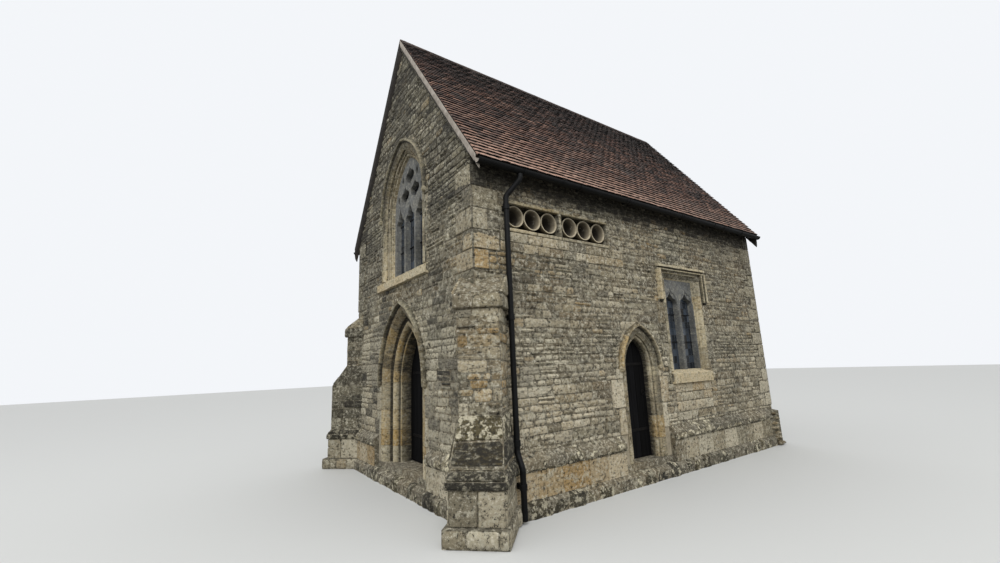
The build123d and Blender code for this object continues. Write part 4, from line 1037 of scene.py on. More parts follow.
def lay_square_window(heap, face, middle, rng, tint):
    """Splayed jamb stones and lintels of a side window."""
    deep = side_reveal + 0.14
    section = [(side_surround_half, deep), (side_surround_half, -PROUD),
               (SIDE_WINDOW_HALF, -PROUD), (SIDE_WINDOW_HALF - 0.018, 0.012),
               (SIDE_WINDOW_HALF - 0.02, 0.034), (side_inner_half + 0.014, 0.046),
               (side_inner_half + 0.01, side_reveal - 0.018),
               (side_inner_half - 0.006, side_reveal - 0.004), (side_inner_half - 0.006, deep)]
    for side in (-1, 1):
        ends = levels_between([side_window_sill, side_inner_head, label_high.z - 0.14], 0.22, 0.38,
                              rng)
        lay_upright(heap, face, middle + side * SIDE_WINDOW_HALF,
                    [(middle + side * x, -depth) for x, depth in section], ends, rng, tint)
    top = label_high.z - 0.13
    head = [(-deep, side_inner_head - 0.004), (0.004 - side_reveal, side_inner_head - 0.004),
            (-0.03, top - 0.02), (0.008, top - 0.012), (0.008, top), (-deep, top)]
    lay_run(heap, face, head, middle - SIDE_WINDOW_HALF - 0.02, middle + SIDE_WINDOW_HALF + 0.02,
            rng, tint, 0.5, joint=0.002, worn=0.003, tone=0.1)
    bed = [(0.0, top), (0.008, label_high.z - 0.09), (0.008, label_high.z + 0.05),
           (-0.02, label_high.z + 0.05), (-0.02, top)]
    lay_run(heap, face, bed, middle - side_surround_half, middle + side_surround_half, rng, tint,
            0.4, worn=0.003)


def lay_sill(heap, face, x_from, x_to, bed, top, reveal, rng, tint, block):
    """Sill stones that fall to their nosing."""
    reach, deep = 0.074, reveal + 0.13
    section = [(0.08 - deep, bed - 0.004), (0.02, bed - 0.006), (reach - 0.004, bed + 0.006),
               (reach, top - 0.05), (0.0, top - 0.014), (-reveal, top + 0.018),
               (-deep, top + 0.018), (-deep, bed + 0.01)]
    lay_run(heap, face, section, x_from, x_to, rng, tint, block, tone=0.2)


# Roof
def roof_face(side):
    """The face of one slope: x along the ridge and z down the slope, proud outward."""
    origin = (0, y_front if side > 0 else y_back, ridge_height)
    down = Vector((side * cos(ROOF_PITCH), 0, -sin(ROOF_PITCH)))
    return Face(origin, (0, -side, 0), down)


def lay_tile(heap, face, x, z, width, length, lift, rng, mark):
    """One tile: z is its tail, cambered across, its tail raised on the course below."""
    thick = 0.014
    camber = rng.uniform(0.001, 0.004)
    turn = rng.uniform(-0.012, 0.012)
    rings = []
    for share in (0.0, 0.06, 0.54, 0.66, 1.0):
        proud = between(lift, 0.001, share) - (0.002 if share == 0 else 0)
        ring = []
        for across, drop in ((-0.5, camber), (0.0, 0.0), (0.5, camber)):
            ring.append((x + across * width, z - share * length + across * width * turn * 10,
                         proud - drop))
        ring += [(px, pz, proud - thick) for px, pz, proud in reversed(ring)]
        rings.append([face.at(*point) for point in ring])
    start = len(heap.marks)
    heap.add_rings(rings, mark)
    # Painted shade: the tail ring and the rings under the next course's tail are marked black.
    for number in tuple(range(6)) + tuple(range(18, 30)):
        heap.marks[start + number] = (0.0, 0.0, 0.0, 1.0)


def lay_slope(name, side, seed, sizes):
    """Plain tiles in half bond, with a doubled course at the eaves."""
    rng = Random(seed)
    heap = Heap()
    face = roof_face(side)
    slope = slope_end / cos(ROOF_PITCH)
    run_from, run_to = -body_length - 0.05, 0.05
    courses = int(slope / sizes.gauge)
    for course in range(-1, courses):
        tail = slope - max(course, 0) * sizes.gauge - (0.012 if course < 0 else 0.0)
        lift = sizes.tile_lift * (0.35 if course < 0 else 1.0)
        x = run_from + (sizes.tile_width / 2 if course % 2 else 0.0)
        starts = [run_from] if course % 2 else []
        while x < run_to - 0.01:
            starts.append(x)
            x += sizes.tile_width
        for start, end in zip(starts, starts[1:] + [run_to]):
            middle = (start + end) / 2
            height, away = max(course, 0) / courses, abs(middle) / body_length
            tone = unit(0.76 + rng.uniform(-0.5, 0.5) + 0.4 * (patch(middle, tail, 0.7, seed) - 0.5)
                        - 0.78 * height ** 2.2 - 0.2 * away)
            # Painted highlight, strongest on the lowest courses and near the front gable, fading up
            # the slope.
            eaves_highlight = unit(1.0 - course / 9) * (1 - 0.6 * away) * rng.uniform(0.6, 1.2)
            mark = (between(0.1, 1.0, tone), unit(eaves_highlight),
                    unit(patch(middle, tail, 0.9, seed + 5) - 0.3), 0.0)
            slip = rng.uniform(-0.004, 0.006) + (0.014 if rng.random() < 0.02 else 0.0)
            lay_tile(heap, face, middle, tail + slip, end - start - rng.uniform(0.003, 0.011),
                     sizes.gauge + 0.05, lift + rng.uniform(-0.002, 0.006), rng, mark)
    heap.piece(name, ["Handmade clay tile"], "clay_tile", sharp=25)


def lay_ridge(sizes):
    """Rounded ridge tiles end to end, bedded in mortar."""
    rng = Random(95)
    heap = Heap()
    low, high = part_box("ridge_tiles")
    leg = (high.x - low.x) / 2 - 0.016
    soft = 0.03
    count = round((high.y - low.y) / sizes.ridge_tile)
    step = (high.y - low.y) / count

    def outline(lift, wider):
        across = [between(-leg - wider, leg + wider, number / 10) for number in range(11)]
        return [(x, high.z - 0.006 + soft - sqrt((x * tan(ROOF_PITCH)) ** 2 + soft ** 2) + lift)
                for x in across]

    for number in range(count):
        start = low.y + number * step
        sag = rng.uniform(-0.005, 0.0)
        outer, inner = outline(sag, 0.0), outline(sag - 0.022, -0.004)
        rings = [[Vector((x, y, z)) for x, z in outer + inner[::-1]]
                 for y in (start + 0.004, start + step - 0.004)]
        tone = unit(0.35 + rng.uniform(-0.3, 0.3))
        heap.add_rings(rings, (between(0.1, 0.5, tone), 0.0, rng.uniform(0.5, 1.0), 0.0))
        outer, inner = outline(-0.007, -0.002), outline(-0.03, -0.004)
        rings = [[Vector((x, y, z)) for x, z in outer + inner[::-1]]
                 for y in (start + step - 0.012, start + step + 0.012)]
        heap.add_rings(rings, PLAIN, 1)
    piece = heap.piece("ridge_tile_run", ["Handmade clay tile", "Lime mortar"], "clay_tile",
                       sharp=40)
    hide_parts("ridge_tiles")


VERGE_STEPS = 60


def lay_verges():
    """Mortar that beds the verge tiles, over the ends of both slopes and down on the gable."""
    rng = Random(97)
    heap = Heap()
    for face, edge in ((front, slope_low.y), (back, slope_high.y)):
        reach = abs(edge - (y_front if face is front else y_back)) + 0.004
        for side in (-1, 1):
            rings = []
            for step in range(VERGE_STEPS + 1):
                share = step / VERGE_STEPS
                x = side * between(0.0, slope_end - 0.03, share)
                wave = 0.006 * noise.noise(Vector((share * 30, side, 3)))
                top = slope_top(x) - 0.012
                # The left slope's band is wider, and slot 1 draws it in near black mortar as painted
                # shade under the tile edges.
                wide = 0.11 if side > 0 else 0.18
                low = top - (wide + wave + rng.uniform(-0.004, 0.004)) / cos(ROOF_PITCH)
                rings.append([face.at(x, top, -0.004), face.at(x, top, reach),
                              face.at(x, (top + low) / 2, reach + wave * 0.3),
                              face.at(x, between(top, low, 0.8), reach - 0.012),
                              face.at(x, low, 0.012), face.at(x, low, -0.004)])
            heap.add_rings(rings, PLAIN, 0 if side > 0 else 1)
    heap.piece("verge_mortar", ["Pressed verge mortar", "Verge mortar in painted shade"], "lime_mortar")


def lay_rib(heap, face, path, half, behind, ahead):
    """A rounded rib swept along a path of points on a face."""
    rings = []
    for number, (x, z) in enumerate(path):
        x0, z0 = path[max(number - 1, 0)]
        x1, z1 = path[min(number + 1, len(path) - 1)]
        reach = max(sqrt((x1 - x0) ** 2 + (z1 - z0) ** 2), 1e-6)
        nx, nz = (z1 - z0) / reach * half, (x0 - x1) / reach * half
        rings.append([face.at(x + nx * across, z + nz * across, -between(behind, ahead, share))
                      for across, share in ((-1, 0.0), (-0.8, 0.6), (0, 1.0), (0.8, 0.6), (1, 0.0))])
    heap.add_rings(rings, PLAIN)


def lay_light_ribs(heap, face, middle):
    """Ribs up the shafts of a side window's two lights and round their ogee heads."""
    half = (side_inner_half - MULLION) / 2 + 0.018
    rise = SIDE_LIGHT_APEX - SIDE_LIGHT_SPRINGING
    for place in (-1, 1):
        centre = middle + place * (half + MULLION / 2 - 0.018)
        for side in (-1, 1):
            path = [(centre + side * half, side_window_sill),
                    (centre + side * half, SIDE_LIGHT_SPRINGING)]
            for number in range(1, 13):
                share = number / 12
                round_part = sin(pi / 2 * min(share / OGEE_TURN, 1))
                hollow_part = (max(share - OGEE_TURN, 0) / (1 - OGEE_TURN)) ** 1.6
                turn = between(hollow_part, round_part, OGEE_ROUND)
                path.append((centre + side * half * (1 - share), SIDE_LIGHT_SPRINGING + rise * turn))
            lay_rib(heap, face, path, 0.016, side_reveal + 0.006, side_reveal - 0.02)


# Glazing
def lay_bar(heap, face, start, end, half, proud_from, proud_to):
    """A straight bar on a face, between two points."""
    (x0, z0), (x1, z1) = start, end
    length = max(sqrt((x1 - x0) ** 2 + (z1 - z0) ** 2), 1e-6)
    nx, nz = -(z1 - z0) / length * half, (x1 - x0) / length * half
    rings = [[face.at(x - nx, z - nz, proud_from), face.at(x - nx * 0.6, z - nz * 0.6, proud_to),
              face.at(x + nx * 0.6, z + nz * 0.6, proud_to), face.at(x + nx, z + nz, proud_from)]
             for x, z in (start, end)]
    heap.add_rings(rings, PLAIN)


def glaze(panes, cames, irons, face, middle, half, sill, head, wide_at, depth, rng, sizes):
    """Quarries, lead cames and saddle bars of one window."""
    columns = round(2 * half / sizes.quarry_width)
    rows = round((head - sill) / sizes.quarry_height)
    for row in range(rows):
        low, high = (between(sill, head, share / rows) for share in (row, row + 1))
        for column in range(columns):
            x_from, x_to = (between(-half, half, share / columns) for share in (column, column + 1))
            corners = [(x_from, low), (x_to, low), (x_to, high), (x_from, high)]
            kept = [(max(min(x, wide_at(z)), -wide_at(z)), z) for x, z in corners]
            if abs(kept[1][0] - kept[0][0]) + abs(kept[2][0] - kept[3][0]) < 0.01:
                continue
            tilt_x, tilt_z = rng.uniform(-0.016, 0.016), rng.uniform(-0.016, 0.016)
            centre_x, centre_z = (x_from + x_to) / 2, (low + high) / 2
            rings = [[face.at(middle + x, z, -depth - back + (x - centre_x) * tilt_x
                              + (z - centre_z) * tilt_z) for x, z in kept] for back in (0.005, 0.002)]
            panes.add_rings(rings, (rng.random(), 0, 0, 0))
        if row:
            wide = wide_at(low)
            lay_bar(cames, face, (middle - wide, low), (middle + wide, low), 0.004, -depth - 0.003,
                    -depth + 0.002)
            if row % sizes.rows_per_bar == 0:
                lay_bar(irons, face, (middle - wide, low), (middle + wide, low), 0.007,
                        -depth + 0.002, -depth + 0.016)
    for column in range(1, columns):
        x = between(-half, half, column / columns)
        top = head
        while top > sill and wide_at(top) < abs(x):
            top -= 0.01
        lay_bar(cames, face, (middle + x, sill), (middle + x, top), 0.004, -depth - 0.003,
                -depth + 0.002)


def lay_glazing(sizes):
    """Leaded lights behind the tracery of all four windows."""
    rng = Random(120)
    panes, cames, irons = Heap(), Heap(), Heap()
    centre = arch_centre(gable_inner_half, gable_inner_apex - GABLE_SPRINGING)

    def under_arch(level):
        if level <= GABLE_SPRINGING:
            return gable_inner_half
        spread = (gable_inner_half + centre) ** 2 - (level - GABLE_SPRINGING) ** 2
        return max(sqrt(max(spread, 0)) - centre, 0.0)

    for face in (front, back):
        glaze(panes, cames, irons, face, 0.0, gable_inner_half, gable_sill, gable_inner_apex,
              under_arch, gable_reveal + GLASS_SET_BACK, rng, sizes)
    for face, middle in ((right, side_window_middle), (left, body_length - side_window_middle)):
        glaze(panes, cames, irons, face, middle, side_inner_half, side_window_sill,
              side_inner_head, lambda level: side_inner_half, side_reveal + GLASS_SET_BACK, rng,
              sizes)
    panes.piece("window_quarries", ["Leaded window glass"], "leaded_glass")
    cames.piece("lead_cames", ["Lead came"], "leaded_glass")
    irons.piece("saddle_bars", ["Wrought iron"], "wrought_iron")


# Doors, with their rows of nails at levels above the floor
NAIL_ROWS = (0.442, 1.502)


def lay_board(heap, face, outline, front_depth, back_depth, mark, arris=0.004):
    """A board with eased edges, its outline in x and z."""
    middle_x, middle_z = middle_of(outline)
    inset = [(x - (arris if x > middle_x else -arris), z - (arris if z > middle_z else -arris))
             for x, z in outline]
    rings = []
    for points, depth in ((inset, front_depth), (outline, front_depth + arris),
                          (outline, back_depth - arris), (inset, back_depth)):
        rings.append([face.at(x, z, -depth) for x, z in points])
    heap.add_rings(rings, mark)


def lay_leaf(name, node, body, face, middle, springing, seed, sizes):
    """The boards and clench nails of one leaf under its pointed head."""
    rng = Random(seed)
    heap, nails = Heap(), Heap()
    low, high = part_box(node)
    if face is front:
        half, depth = (high.x - low.x) / 2, low.y - y_front
        back_depth = high.y - y_front
    else:
        half, depth = (high.y - low.y) / 2, half_width - high.x
        back_depth = half_width - low.x
    centre = arch_centre(half, high.z - springing)

    def head(x):
        away = min(abs(x), half)
        return springing + sqrt(max((half + centre) ** 2 - (away + centre) ** 2, 0.0))

    count = round(2 * half / sizes.board)
    for number in range(count):
        x_from = between(-half, half, number / count) + sizes.board_gap / 2
        x_to = between(-half, half, (number + 1) / count) - sizes.board_gap / 2
        tops = [between(x_to, x_from, share / 4) for share in range(5)]
        outline = [(middle + x_from, low.z), (middle + x_to, low.z)]
        outline += [(middle + x, head(x)) for x in tops]
        lay_board(heap, face, outline, depth + rng.uniform(0, 0.003), back_depth - 0.001,
                  (rng.random(), 0, 0, 0))
        for level in (floor_level + row for row in NAIL_ROWS):
            for share in (0.3, 0.7):
                x = middle + between(x_from, x_to, share)
                if abs(x - middle) > half * 0.8:
                    continue
                nails.add_rings([circle(face, x, level, radius, reach - depth, 8) for radius, reach
                                 in ((0.009, 0.006), (0.009, 0.009), (0.005, 0.0125))], PLAIN)
    piece = heap.piece(name, ["Weathered oak in painted shade"], "door_oak", body)
    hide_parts(node)
    nails.piece(name + "_nails", ["Wrought iron"], "wrought_iron", body)


GUTTER_LENGTHS = 5


def lay_gutter_joints():
    """Sockets where the gutter's lengths meet."""
    heap = Heap()
    low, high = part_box("gutters")
    radius = high.x - slope_end
    for side in (-1, 1):
        for number in range(1, GUTTER_LENGTHS):
            y = between(low.y, high.y, number / GUTTER_LENGTHS)
            rings = [[Vector((side * (slope_end + away * cos(start + way * pi * turn / 10)), y + edge,
                              high.z + away * sin(start + way * pi * turn / 10)))
                      for away, start, way in ((radius + 0.004, pi, 1), (radius - 0.001, 2 * pi, -1))
                      for turn in range(11)] for edge in (-0.035, 0.035)]
            heap.add_rings(rings, PLAIN)
    heap.piece("gutter_sockets", ["Painted cast iron"], "black_cast_iron")


def lay_pot_details():
    """Drain holes in the pots' bases, as discs of painted shade, and the flat stones below their
    groups.
    """
    holes, stones = Heap(), Heap()
    rng = Random(130)
    axis = (pot_low.z + pot_high.z) / 2
    base = half_width - pot_low.x
    radius = (pot_high.z - pot_low.z) / 2
    for low, high in pot_groups:
        for number in range(3):
            middle = between(low, high, (number + 0.5) / 3)
            middle = between((low + high) / 2, middle, 0.322 * 3 / POT_RUN)
            holes.add_rings([circle(right, middle, axis - radius * 0.15, 0.016, reach - base, 12)
                             for reach in (0.012, 0.015)], PLAIN)
        strip = [(-0.05, POT_BED), (0.026, POT_BED), (0.03, POT_SILL - 0.004),
                 (-0.05, POT_SILL + 0.004)]
        # Painted shade: the underside of the stones below the pots is darkened.
        lay_run(stones, right, strip, low - 0.02, high + 0.02, rng, pale_tint, 0.5,
                dirt_and_shade=(1.0, 0.3, 0.0, 0.0))
        cap = [(-0.05, pot_head - 0.018), (0.01, pot_head - 0.018), (0.012, pot_head + 0.03),
               (-0.05, pot_head + 0.03)]
        lay_run(stones, right, cap, low - 0.02, high + 0.02, rng, slope_tint, 0.34)
    ends = (pot_groups[0][1], pot_groups[1][0])
    post = [(-0.04, POT_SILL), (0.006, POT_SILL), (0.008, pot_head - 0.02), (-0.04, pot_head - 0.02)]
    lay_run(stones, right, post, ends[0] + 0.002, ends[1] - 0.002, rng, dressing_tint, 0.5)
    holes.piece("pot_drain_holes", ["Painted hole shade"], "pot_clay")
    stones.piece("pot_bed_stones", DRESSED, "dressed_limestone")


# Finishes
def linear(code):
    """An sRGB hex value as a linear colour."""
    parts = [int(code[place:place + 2], 16) / 255 for place in (1, 3, 5)]
    return tuple(part / 12.92 if part <= 0.04045 else ((part + 0.055) / 1.055) ** 2.4
                 for part in parts) + (1.0,)


def join(tree, key, value, made):
    """Links a socket, or sets a value that is the same all over."""
    if isinstance(value, bpy.types.NodeSocket):
        tree.links.new(value, made.inputs[key])
    else:
        made.inputs[key].default_value = value


def node(tree, kind, inputs=None, stops=(), **settings):
    """Adds a shader node with its settings, its ramp's stops and its links or values."""
    made = tree.nodes.new("ShaderNode" + kind)
    for key, value in settings.items():
        setattr(made, key, value)
    for number, (place, code) in enumerate(stops):
        elements = made.color_ramp.elements
        stop = elements[number] if number < 2 else elements.new(place)
        stop.position = place
        stop.color = linear(code)
    for key, value in (inputs or {}).items():
        join(tree, key, value, made)
    return made


def finish(name, roughness, **fixed):
    """A new material with its shader and the place that its patterns read."""
    material = bpy.data.materials.new(name)
    material.use_nodes = True
    tree = material.node_tree
    tree.nodes.clear()
    shader = node(tree, "BsdfPrincipled", {"Roughness": roughness, **fixed})
    node(tree, "OutputMaterial", {"Surface": shader.outputs[0]})
    return tree, shader, node(tree, "TexCoord").outputs["Object"]


def surface(tree, shader, body, heights, relief, strength=0.8):
    """Gives the shader its colour and its fine relief."""
    bump = node(tree, "Bump", {"Height": heights, "Distance": relief, "Strength": strength})
    join(tree, "Base Color", body, shader)
    join(tree, "Normal", bump.outputs[0], shader)


def grain(tree, place, millimetres, detail, rough=0.5):
    """A cloudy pattern whose grains are this far apart."""
    return node(tree, "TexNoise", {"Vector": place, "Scale": 1000 / millimetres, "Detail": detail,
                                   "Roughness": rough}).outputs[0]


def spread(tree, source, low, high, least, most):
    """A pattern's values from low to high, as values from least to most."""
    return node(tree, "MapRange", {0: source, 1: low, 2: high, 3: least, 4: most}).outputs[0]


def reckon(tree, how, first, second):
    return node(tree, "Math", {0: first, 1: second}, operation=how).outputs[0]


def ramp(tree, source, places, tones):
    """Tones over a pattern; two places are the ends of an even ramp."""
    if len(places) < len(tones):
        places = [between(*places, number / (len(tones) - 1)) for number in range(len(tones))]
    return node(tree, "ValToRGB", {0: source}, tuple(zip(places, tones))).outputs[0]


def colour_mix(tree, share, first, second):
    """One colour over another; a share, colours or links."""
    made = node(tree, "Mix", data_type="RGBA", clamp_factor=True)
    for key, value in ((0, share), (6, first), (7, second)):
        join(tree, key, value, made)
    return made.outputs[2]


def layer(tree, body, pattern, low, high, strength, code):
    """Lays a colour over a body where a pattern passes from its low to its high value."""
    return colour_mix(tree, spread(tree, pattern, low, high, 0.0, strength), body, linear(code))


def marks_of(tree):
    """The four shares that the points of a piece carry."""
    mark = node(tree, "Attribute", attribute_name="mark")
    split = node(tree, "SeparateColor", {0: mark.outputs["Color"]}).outputs
    return split[0], split[1], split[2], mark.outputs["Alpha"]


def limestone(name, tones, warm, olive, marked, relief=0.006, lichen=0.6, rough=1.0,
              crust_colour="#bdb8a4", crust_size=75, crust_edge=0.58, soot_and_shade_at_head=False):
    """Split or sawn shelly limestone: mottled, ironstone-stained, crusted with lichen and algae."""
    tree, shader, place = finish(name, 0.93)
    if marked:
        tone, warmth, grime_and_shade, green = marks_of(tree)
    else:
        tone = grain(tree, place, 420, 5)
        wander = grain(tree, place, 900, 3)
        warmth = spread(tree, wander, 0.5, 0.8, 0.0, 0.6)
        grime_and_shade = green = spread(tree, wander, 0.5, 0.2, 0.1, 0.7)
        # Soot stain and painted shade of the eaves darken the wall head.
        if soot_and_shade_at_head:
            height = node(tree, "SeparateXYZ", {0: place}).outputs[2]
            head = spread(tree, height, wall_head - 0.65, wall_head - 0.2, 0.0, 0.9)
            grime_and_shade = reckon(tree, "MAXIMUM", grime_and_shade, head)
    body = colour_mix(tree, warmth, ramp(tree, tone, (0.0, 1.0), tones), linear(warm))
    body = colour_mix(tree, reckon(tree, "MULTIPLY", green, 0.6), body, linear(olive))
    # Weathering opens the bedding in level streaks, about 30 mm apart
    level = node(tree, "Mapping", {"Vector": place, "Scale": (1.0, 1.0, 3.5)}).outputs[0]
    streaks = grain(tree, level, 105, 7, 0.7)
    body = layer(tree, body, streaks, 0.52, 0.66, 0.7 * rough, "#37322a")
    # Crusts of grey and white lichen, a few centimetres wide and broken at their edges
    crust = grain(tree, place, crust_size, 7, 0.72)
    body = layer(tree, body, crust, 0.52, crust_edge, lichen, crust_colour)
    # Pits hold black algae and their edges carry white spots, each about a centimetre
    pits = grain(tree, place, 46, 5, 0.78)
    body = layer(tree, body, pits, 0.46, 0.38, 0.95 * rough, "#211e19")
    body = layer(tree, body, pits, 0.56, 0.64, 0.8 * rough, "#d8d2bf")
    # Soot and algae run together where the wall is stained; the same mark also lays painted shade in
    # hollows, under ledges and under the eaves
    body = layer(tree, body, reckon(tree, "MULTIPLY", grime_and_shade, streaks), 0.08, 0.5, 0.95, "#24211b")
    surface(tree, shader, body, reckon(tree, "ADD", pits, crust), relief, 1.0)


def mottled(name, tones, size, roughness, relief, speck="#3a362d", speck_share=0.4, **fixed):
    """A body of several tones with fine specks, for mortar, clay, iron and lead."""
    tree, shader, place = finish(name, roughness, **fixed)
    body = ramp(tree, grain(tree, place, size, 6, 0.65), (0.3, 0.7), tones)
    specks = grain(tree, place, size / 9, 4, 0.7)
    body = layer(tree, body, specks, 0.52, 0.7, speck_share, speck)
    surface(tree, shader, body, specks, relief)


def clay_tile():
    """Handmade clay: each tile its own brown red, sooty above, with a painted pink highlight towards
    the eaves.
    """
    tree, shader, place = finish("Handmade clay tile", 0.88)
    tone, rub_and_highlight, crusted, tail_shade = marks_of(tree)
    body = ramp(tree, tone, (0.0, 0.12, 0.35, 0.6, 0.85, 1.0),
                ("#17110f", "#382b25", "#4f3d35", "#61473d", "#795646", "#8f6d5c"))
    # Painted highlight: the second mark lays pale pink over the courses near the eaves.
    body = colour_mix(tree, reckon(tree, "MULTIPLY", rub_and_highlight, 0.75), body, linear("#c09c88"))
    soot = grain(tree, place, 70, 8, 0.72)
    body = layer(tree, body, soot, 0.5, 0.66, 0.75, "#2c2320")
    lichen = spread(tree, grain(tree, place, 34, 6, 0.75), 0.5, 0.68, 0.0, 1.0)
    body = colour_mix(tree, reckon(tree, "MULTIPLY", lichen, crusted), body, linear("#8d8780"))
    # Painted shade: the tail's edge and underside, and the part of each tile under the next course's
    # tail, are drawn black
    body = colour_mix(tree, tail_shade, body, linear("#120e0c"))
    surface(tree, shader, body, soot, 0.004)


def thrown_clay():
    """Thrown and fired buff clay: a pale worn rim, and painted shade that darkens the throat."""
    tree, shader, place = finish("Thrown buff clay", 0.9)
    wander = grain(tree, place, 90, 7, 0.7)
    parts = node(tree, "SeparateXYZ", {0: place}).outputs
    rim = pot_high.x
    body = ramp(tree, wander, (0.35, 0.65), ("#a1957c", "#cdc2a8"))
    # Painted shade: the clay darkens from the rim into the throat.
    body = layer(tree, body, parts[0], rim - 0.008, rim - 0.03, 0.55, "#5a5040")
    body = layer(tree, body, parts[0], rim - 0.03, rim - 0.12, 0.9, "#1f1a14")
    # Painted shade: the upper part of each pot, whose inner wall faces down, is darker.
    body = layer(tree, body, parts[2], (pot_low.z + pot_high.z) / 2 - 0.05, pot_high.z - 0.02, 0.6,
                 "#2b251d")
    body = layer(tree, body, wander, 0.6, 0.75, 0.5, "#d8d2c2")
    surface(tree, shader, body, wander, 0.002)


def wood(name, tones, size, marked, relief):
    """Riven or sawn oak: long grain up the board, darker in the checks."""
    tree, shader, place = finish(name, 0.85, **{"Specular IOR Level": 0.12})
    fibres = node(tree, "Mapping", {"Vector": place, "Scale": (1.0, 1.0, 0.045)}).outputs[0]
    lines = grain(tree, fibres, size, 7, 0.7)
    if marked:
        shade = spread(tree, marks_of(tree)[0], 0.0, 1.0, -0.12, 0.12)
        lines = reckon(tree, "ADD", lines, shade)
    surface(tree, shader, ramp(tree, lines, (0.32, 0.68), tones), lines, relief)


def window_glass():
    """Old drawn glass: painted dark as the shade of the unlit rooms behind, with a glossy uneven face
    that carries the sky.
    """
    tree, shader, place = finish("Leaded window glass", 0.16, IOR=1.52)
    body = ramp(tree, marks_of(tree)[0], (0.0, 0.4, 0.8, 1.0),
                ("#15191f", "#262d36", "#3c4550", "#59626d"))
    body = layer(tree, body, grain(tree, place, 80, 5), 0.5, 0.75, 0.4, "#4d4e4a")
    surface(tree, shader, body, grain(tree, place, 120, 2), 0.004, 0.5)


def stone_flags():
    """Split limestone flags rubbed smooth by feet, with dark joints."""
    tree, shader, place = finish("Worn stone flags", 0.7)
    flags = node(tree, "TexBrick", {"Vector": place, "Color1": linear("#8c8576"),
                                    "Color2": linear("#6f695c"), "Mortar": linear("#3b372f"),
                                    "Scale": 1.0, "Mortar Size": 0.006, "Brick Width": 0.62,
                                    "Row Height": 0.45}).outputs
    body = layer(tree, flags["Color"], grain(tree, place, 150, 7), 0.4, 0.7, 0.6, "#4f4a3e")
    surface(tree, shader, body, reckon(tree, "SUBTRACT", 1.0, flags["Fac"]), 0.004, 1.0)


def make_finishes():
    """Every finish of the chapel, each named for its stuff and how it is worked."""
    limestone("Coursed rubble limestone",
              ("#4d493f", "#6e695b", "#8c8672", "#a8a08a", "#c9c1aa"), "#ab8f60", "#6f6d55", True,
              relief=0.008)
    limestone("Dressed limestone", ("#615c4f", "#857e6b", "#a69d85", "#cbc0a2"), "#b89a62",
              "#7a7859", True, relief=0.005, lichen=0.45, rough=0.8)
    limestone("Tooled tracery limestone", ("#4f5152", "#686a6a", "#818280"), "#7c7666", "#66675f",
              False, relief=0.002, lichen=0.2, rough=0.4)
    # Ledges that rain lies on: black algae under a broken crust of cream and mustard lichen
    limestone("Lichened ledge limestone", ("#25221d", "#413d34", "#645f50", "#8a836e"), "#8e7b4c",
              "#55543b", True, relief=0.014, lichen=0.95, crust_colour="#dad2b6", crust_size=100,
              crust_edge=0.54)
    # Stones set back in sandy mortar that has weathered to their own colour
    limestone("Walling in its mortar", ("#565146", "#726b5b", "#8b8370"), "#8f7d59", "#67654f",
              False, lichen=0.5, soot_and_shade_at_head=True)
    # Lime putty and sharp sand, pressed in by hand: pale, sandy and cracked
    mottled("Lime mortar", ("#8a8270", "#a59b85", "#bcb29b"), 110, 0.95, 0.003)
    mottled("Pressed verge mortar", ("#8f867c", "#aea59a", "#c2bab0"), 120, 0.95, 0.004,
            "#5d564c", 0.5)
    # The left verge's band: near black, as painted shade under the tile edges.
    mottled("Verge mortar in painted shade", ("#171412", "#231f1b", "#39332d"), 120, 0.95, 0.004,
            "#5c554c", 0.3)
    # Sand-cast iron under old black gloss paint
    dull = {"Specular IOR Level": 0.2}
    mottled("Painted cast iron", ("#050606", "#0a0b0c", "#111213"), 160, 0.55, 0.0008, "#242423",
            0.3, **dull)
    # Hammered iron, blackened and dry
    mottled("Wrought iron", ("#060505", "#0b0a09", "#14110f"), 60, 0.7, 0.0012, "#241b15", 0.2,
            **dull)
    # Milled lead, oxidised to a dull grey
    mottled("Lead came", ("#24262a", "#35383c", "#4b4e52"), 50, 0.6, 0.0006, "#606365", 0.3)
    # Painted shade: a flat near black for the dark inside a hole
    mottled("Painted hole shade", ("#070605", "#0c0b09", "#12100d"), 40, 0.95, 0.001, "#1c1914", 0.3)
    thrown_clay()
    clay_tile()
    # Door boards near black: weathered oak, darkened further as painted shade of the deep door recess.
    wood("Weathered oak in painted shade", ("#040404", "#0a0a0b", "#141416"), 26, True, 0.002)
    wood("Sawn oak timber", ("#14100c", "#211a14", "#33281f"), 34, False, 0.002)
    wood("Weathered rafter oak", ("#2b2822", "#4e4a42", "#77736a"), 34, False, 0.002)
    window_glass()
    stone_flags()


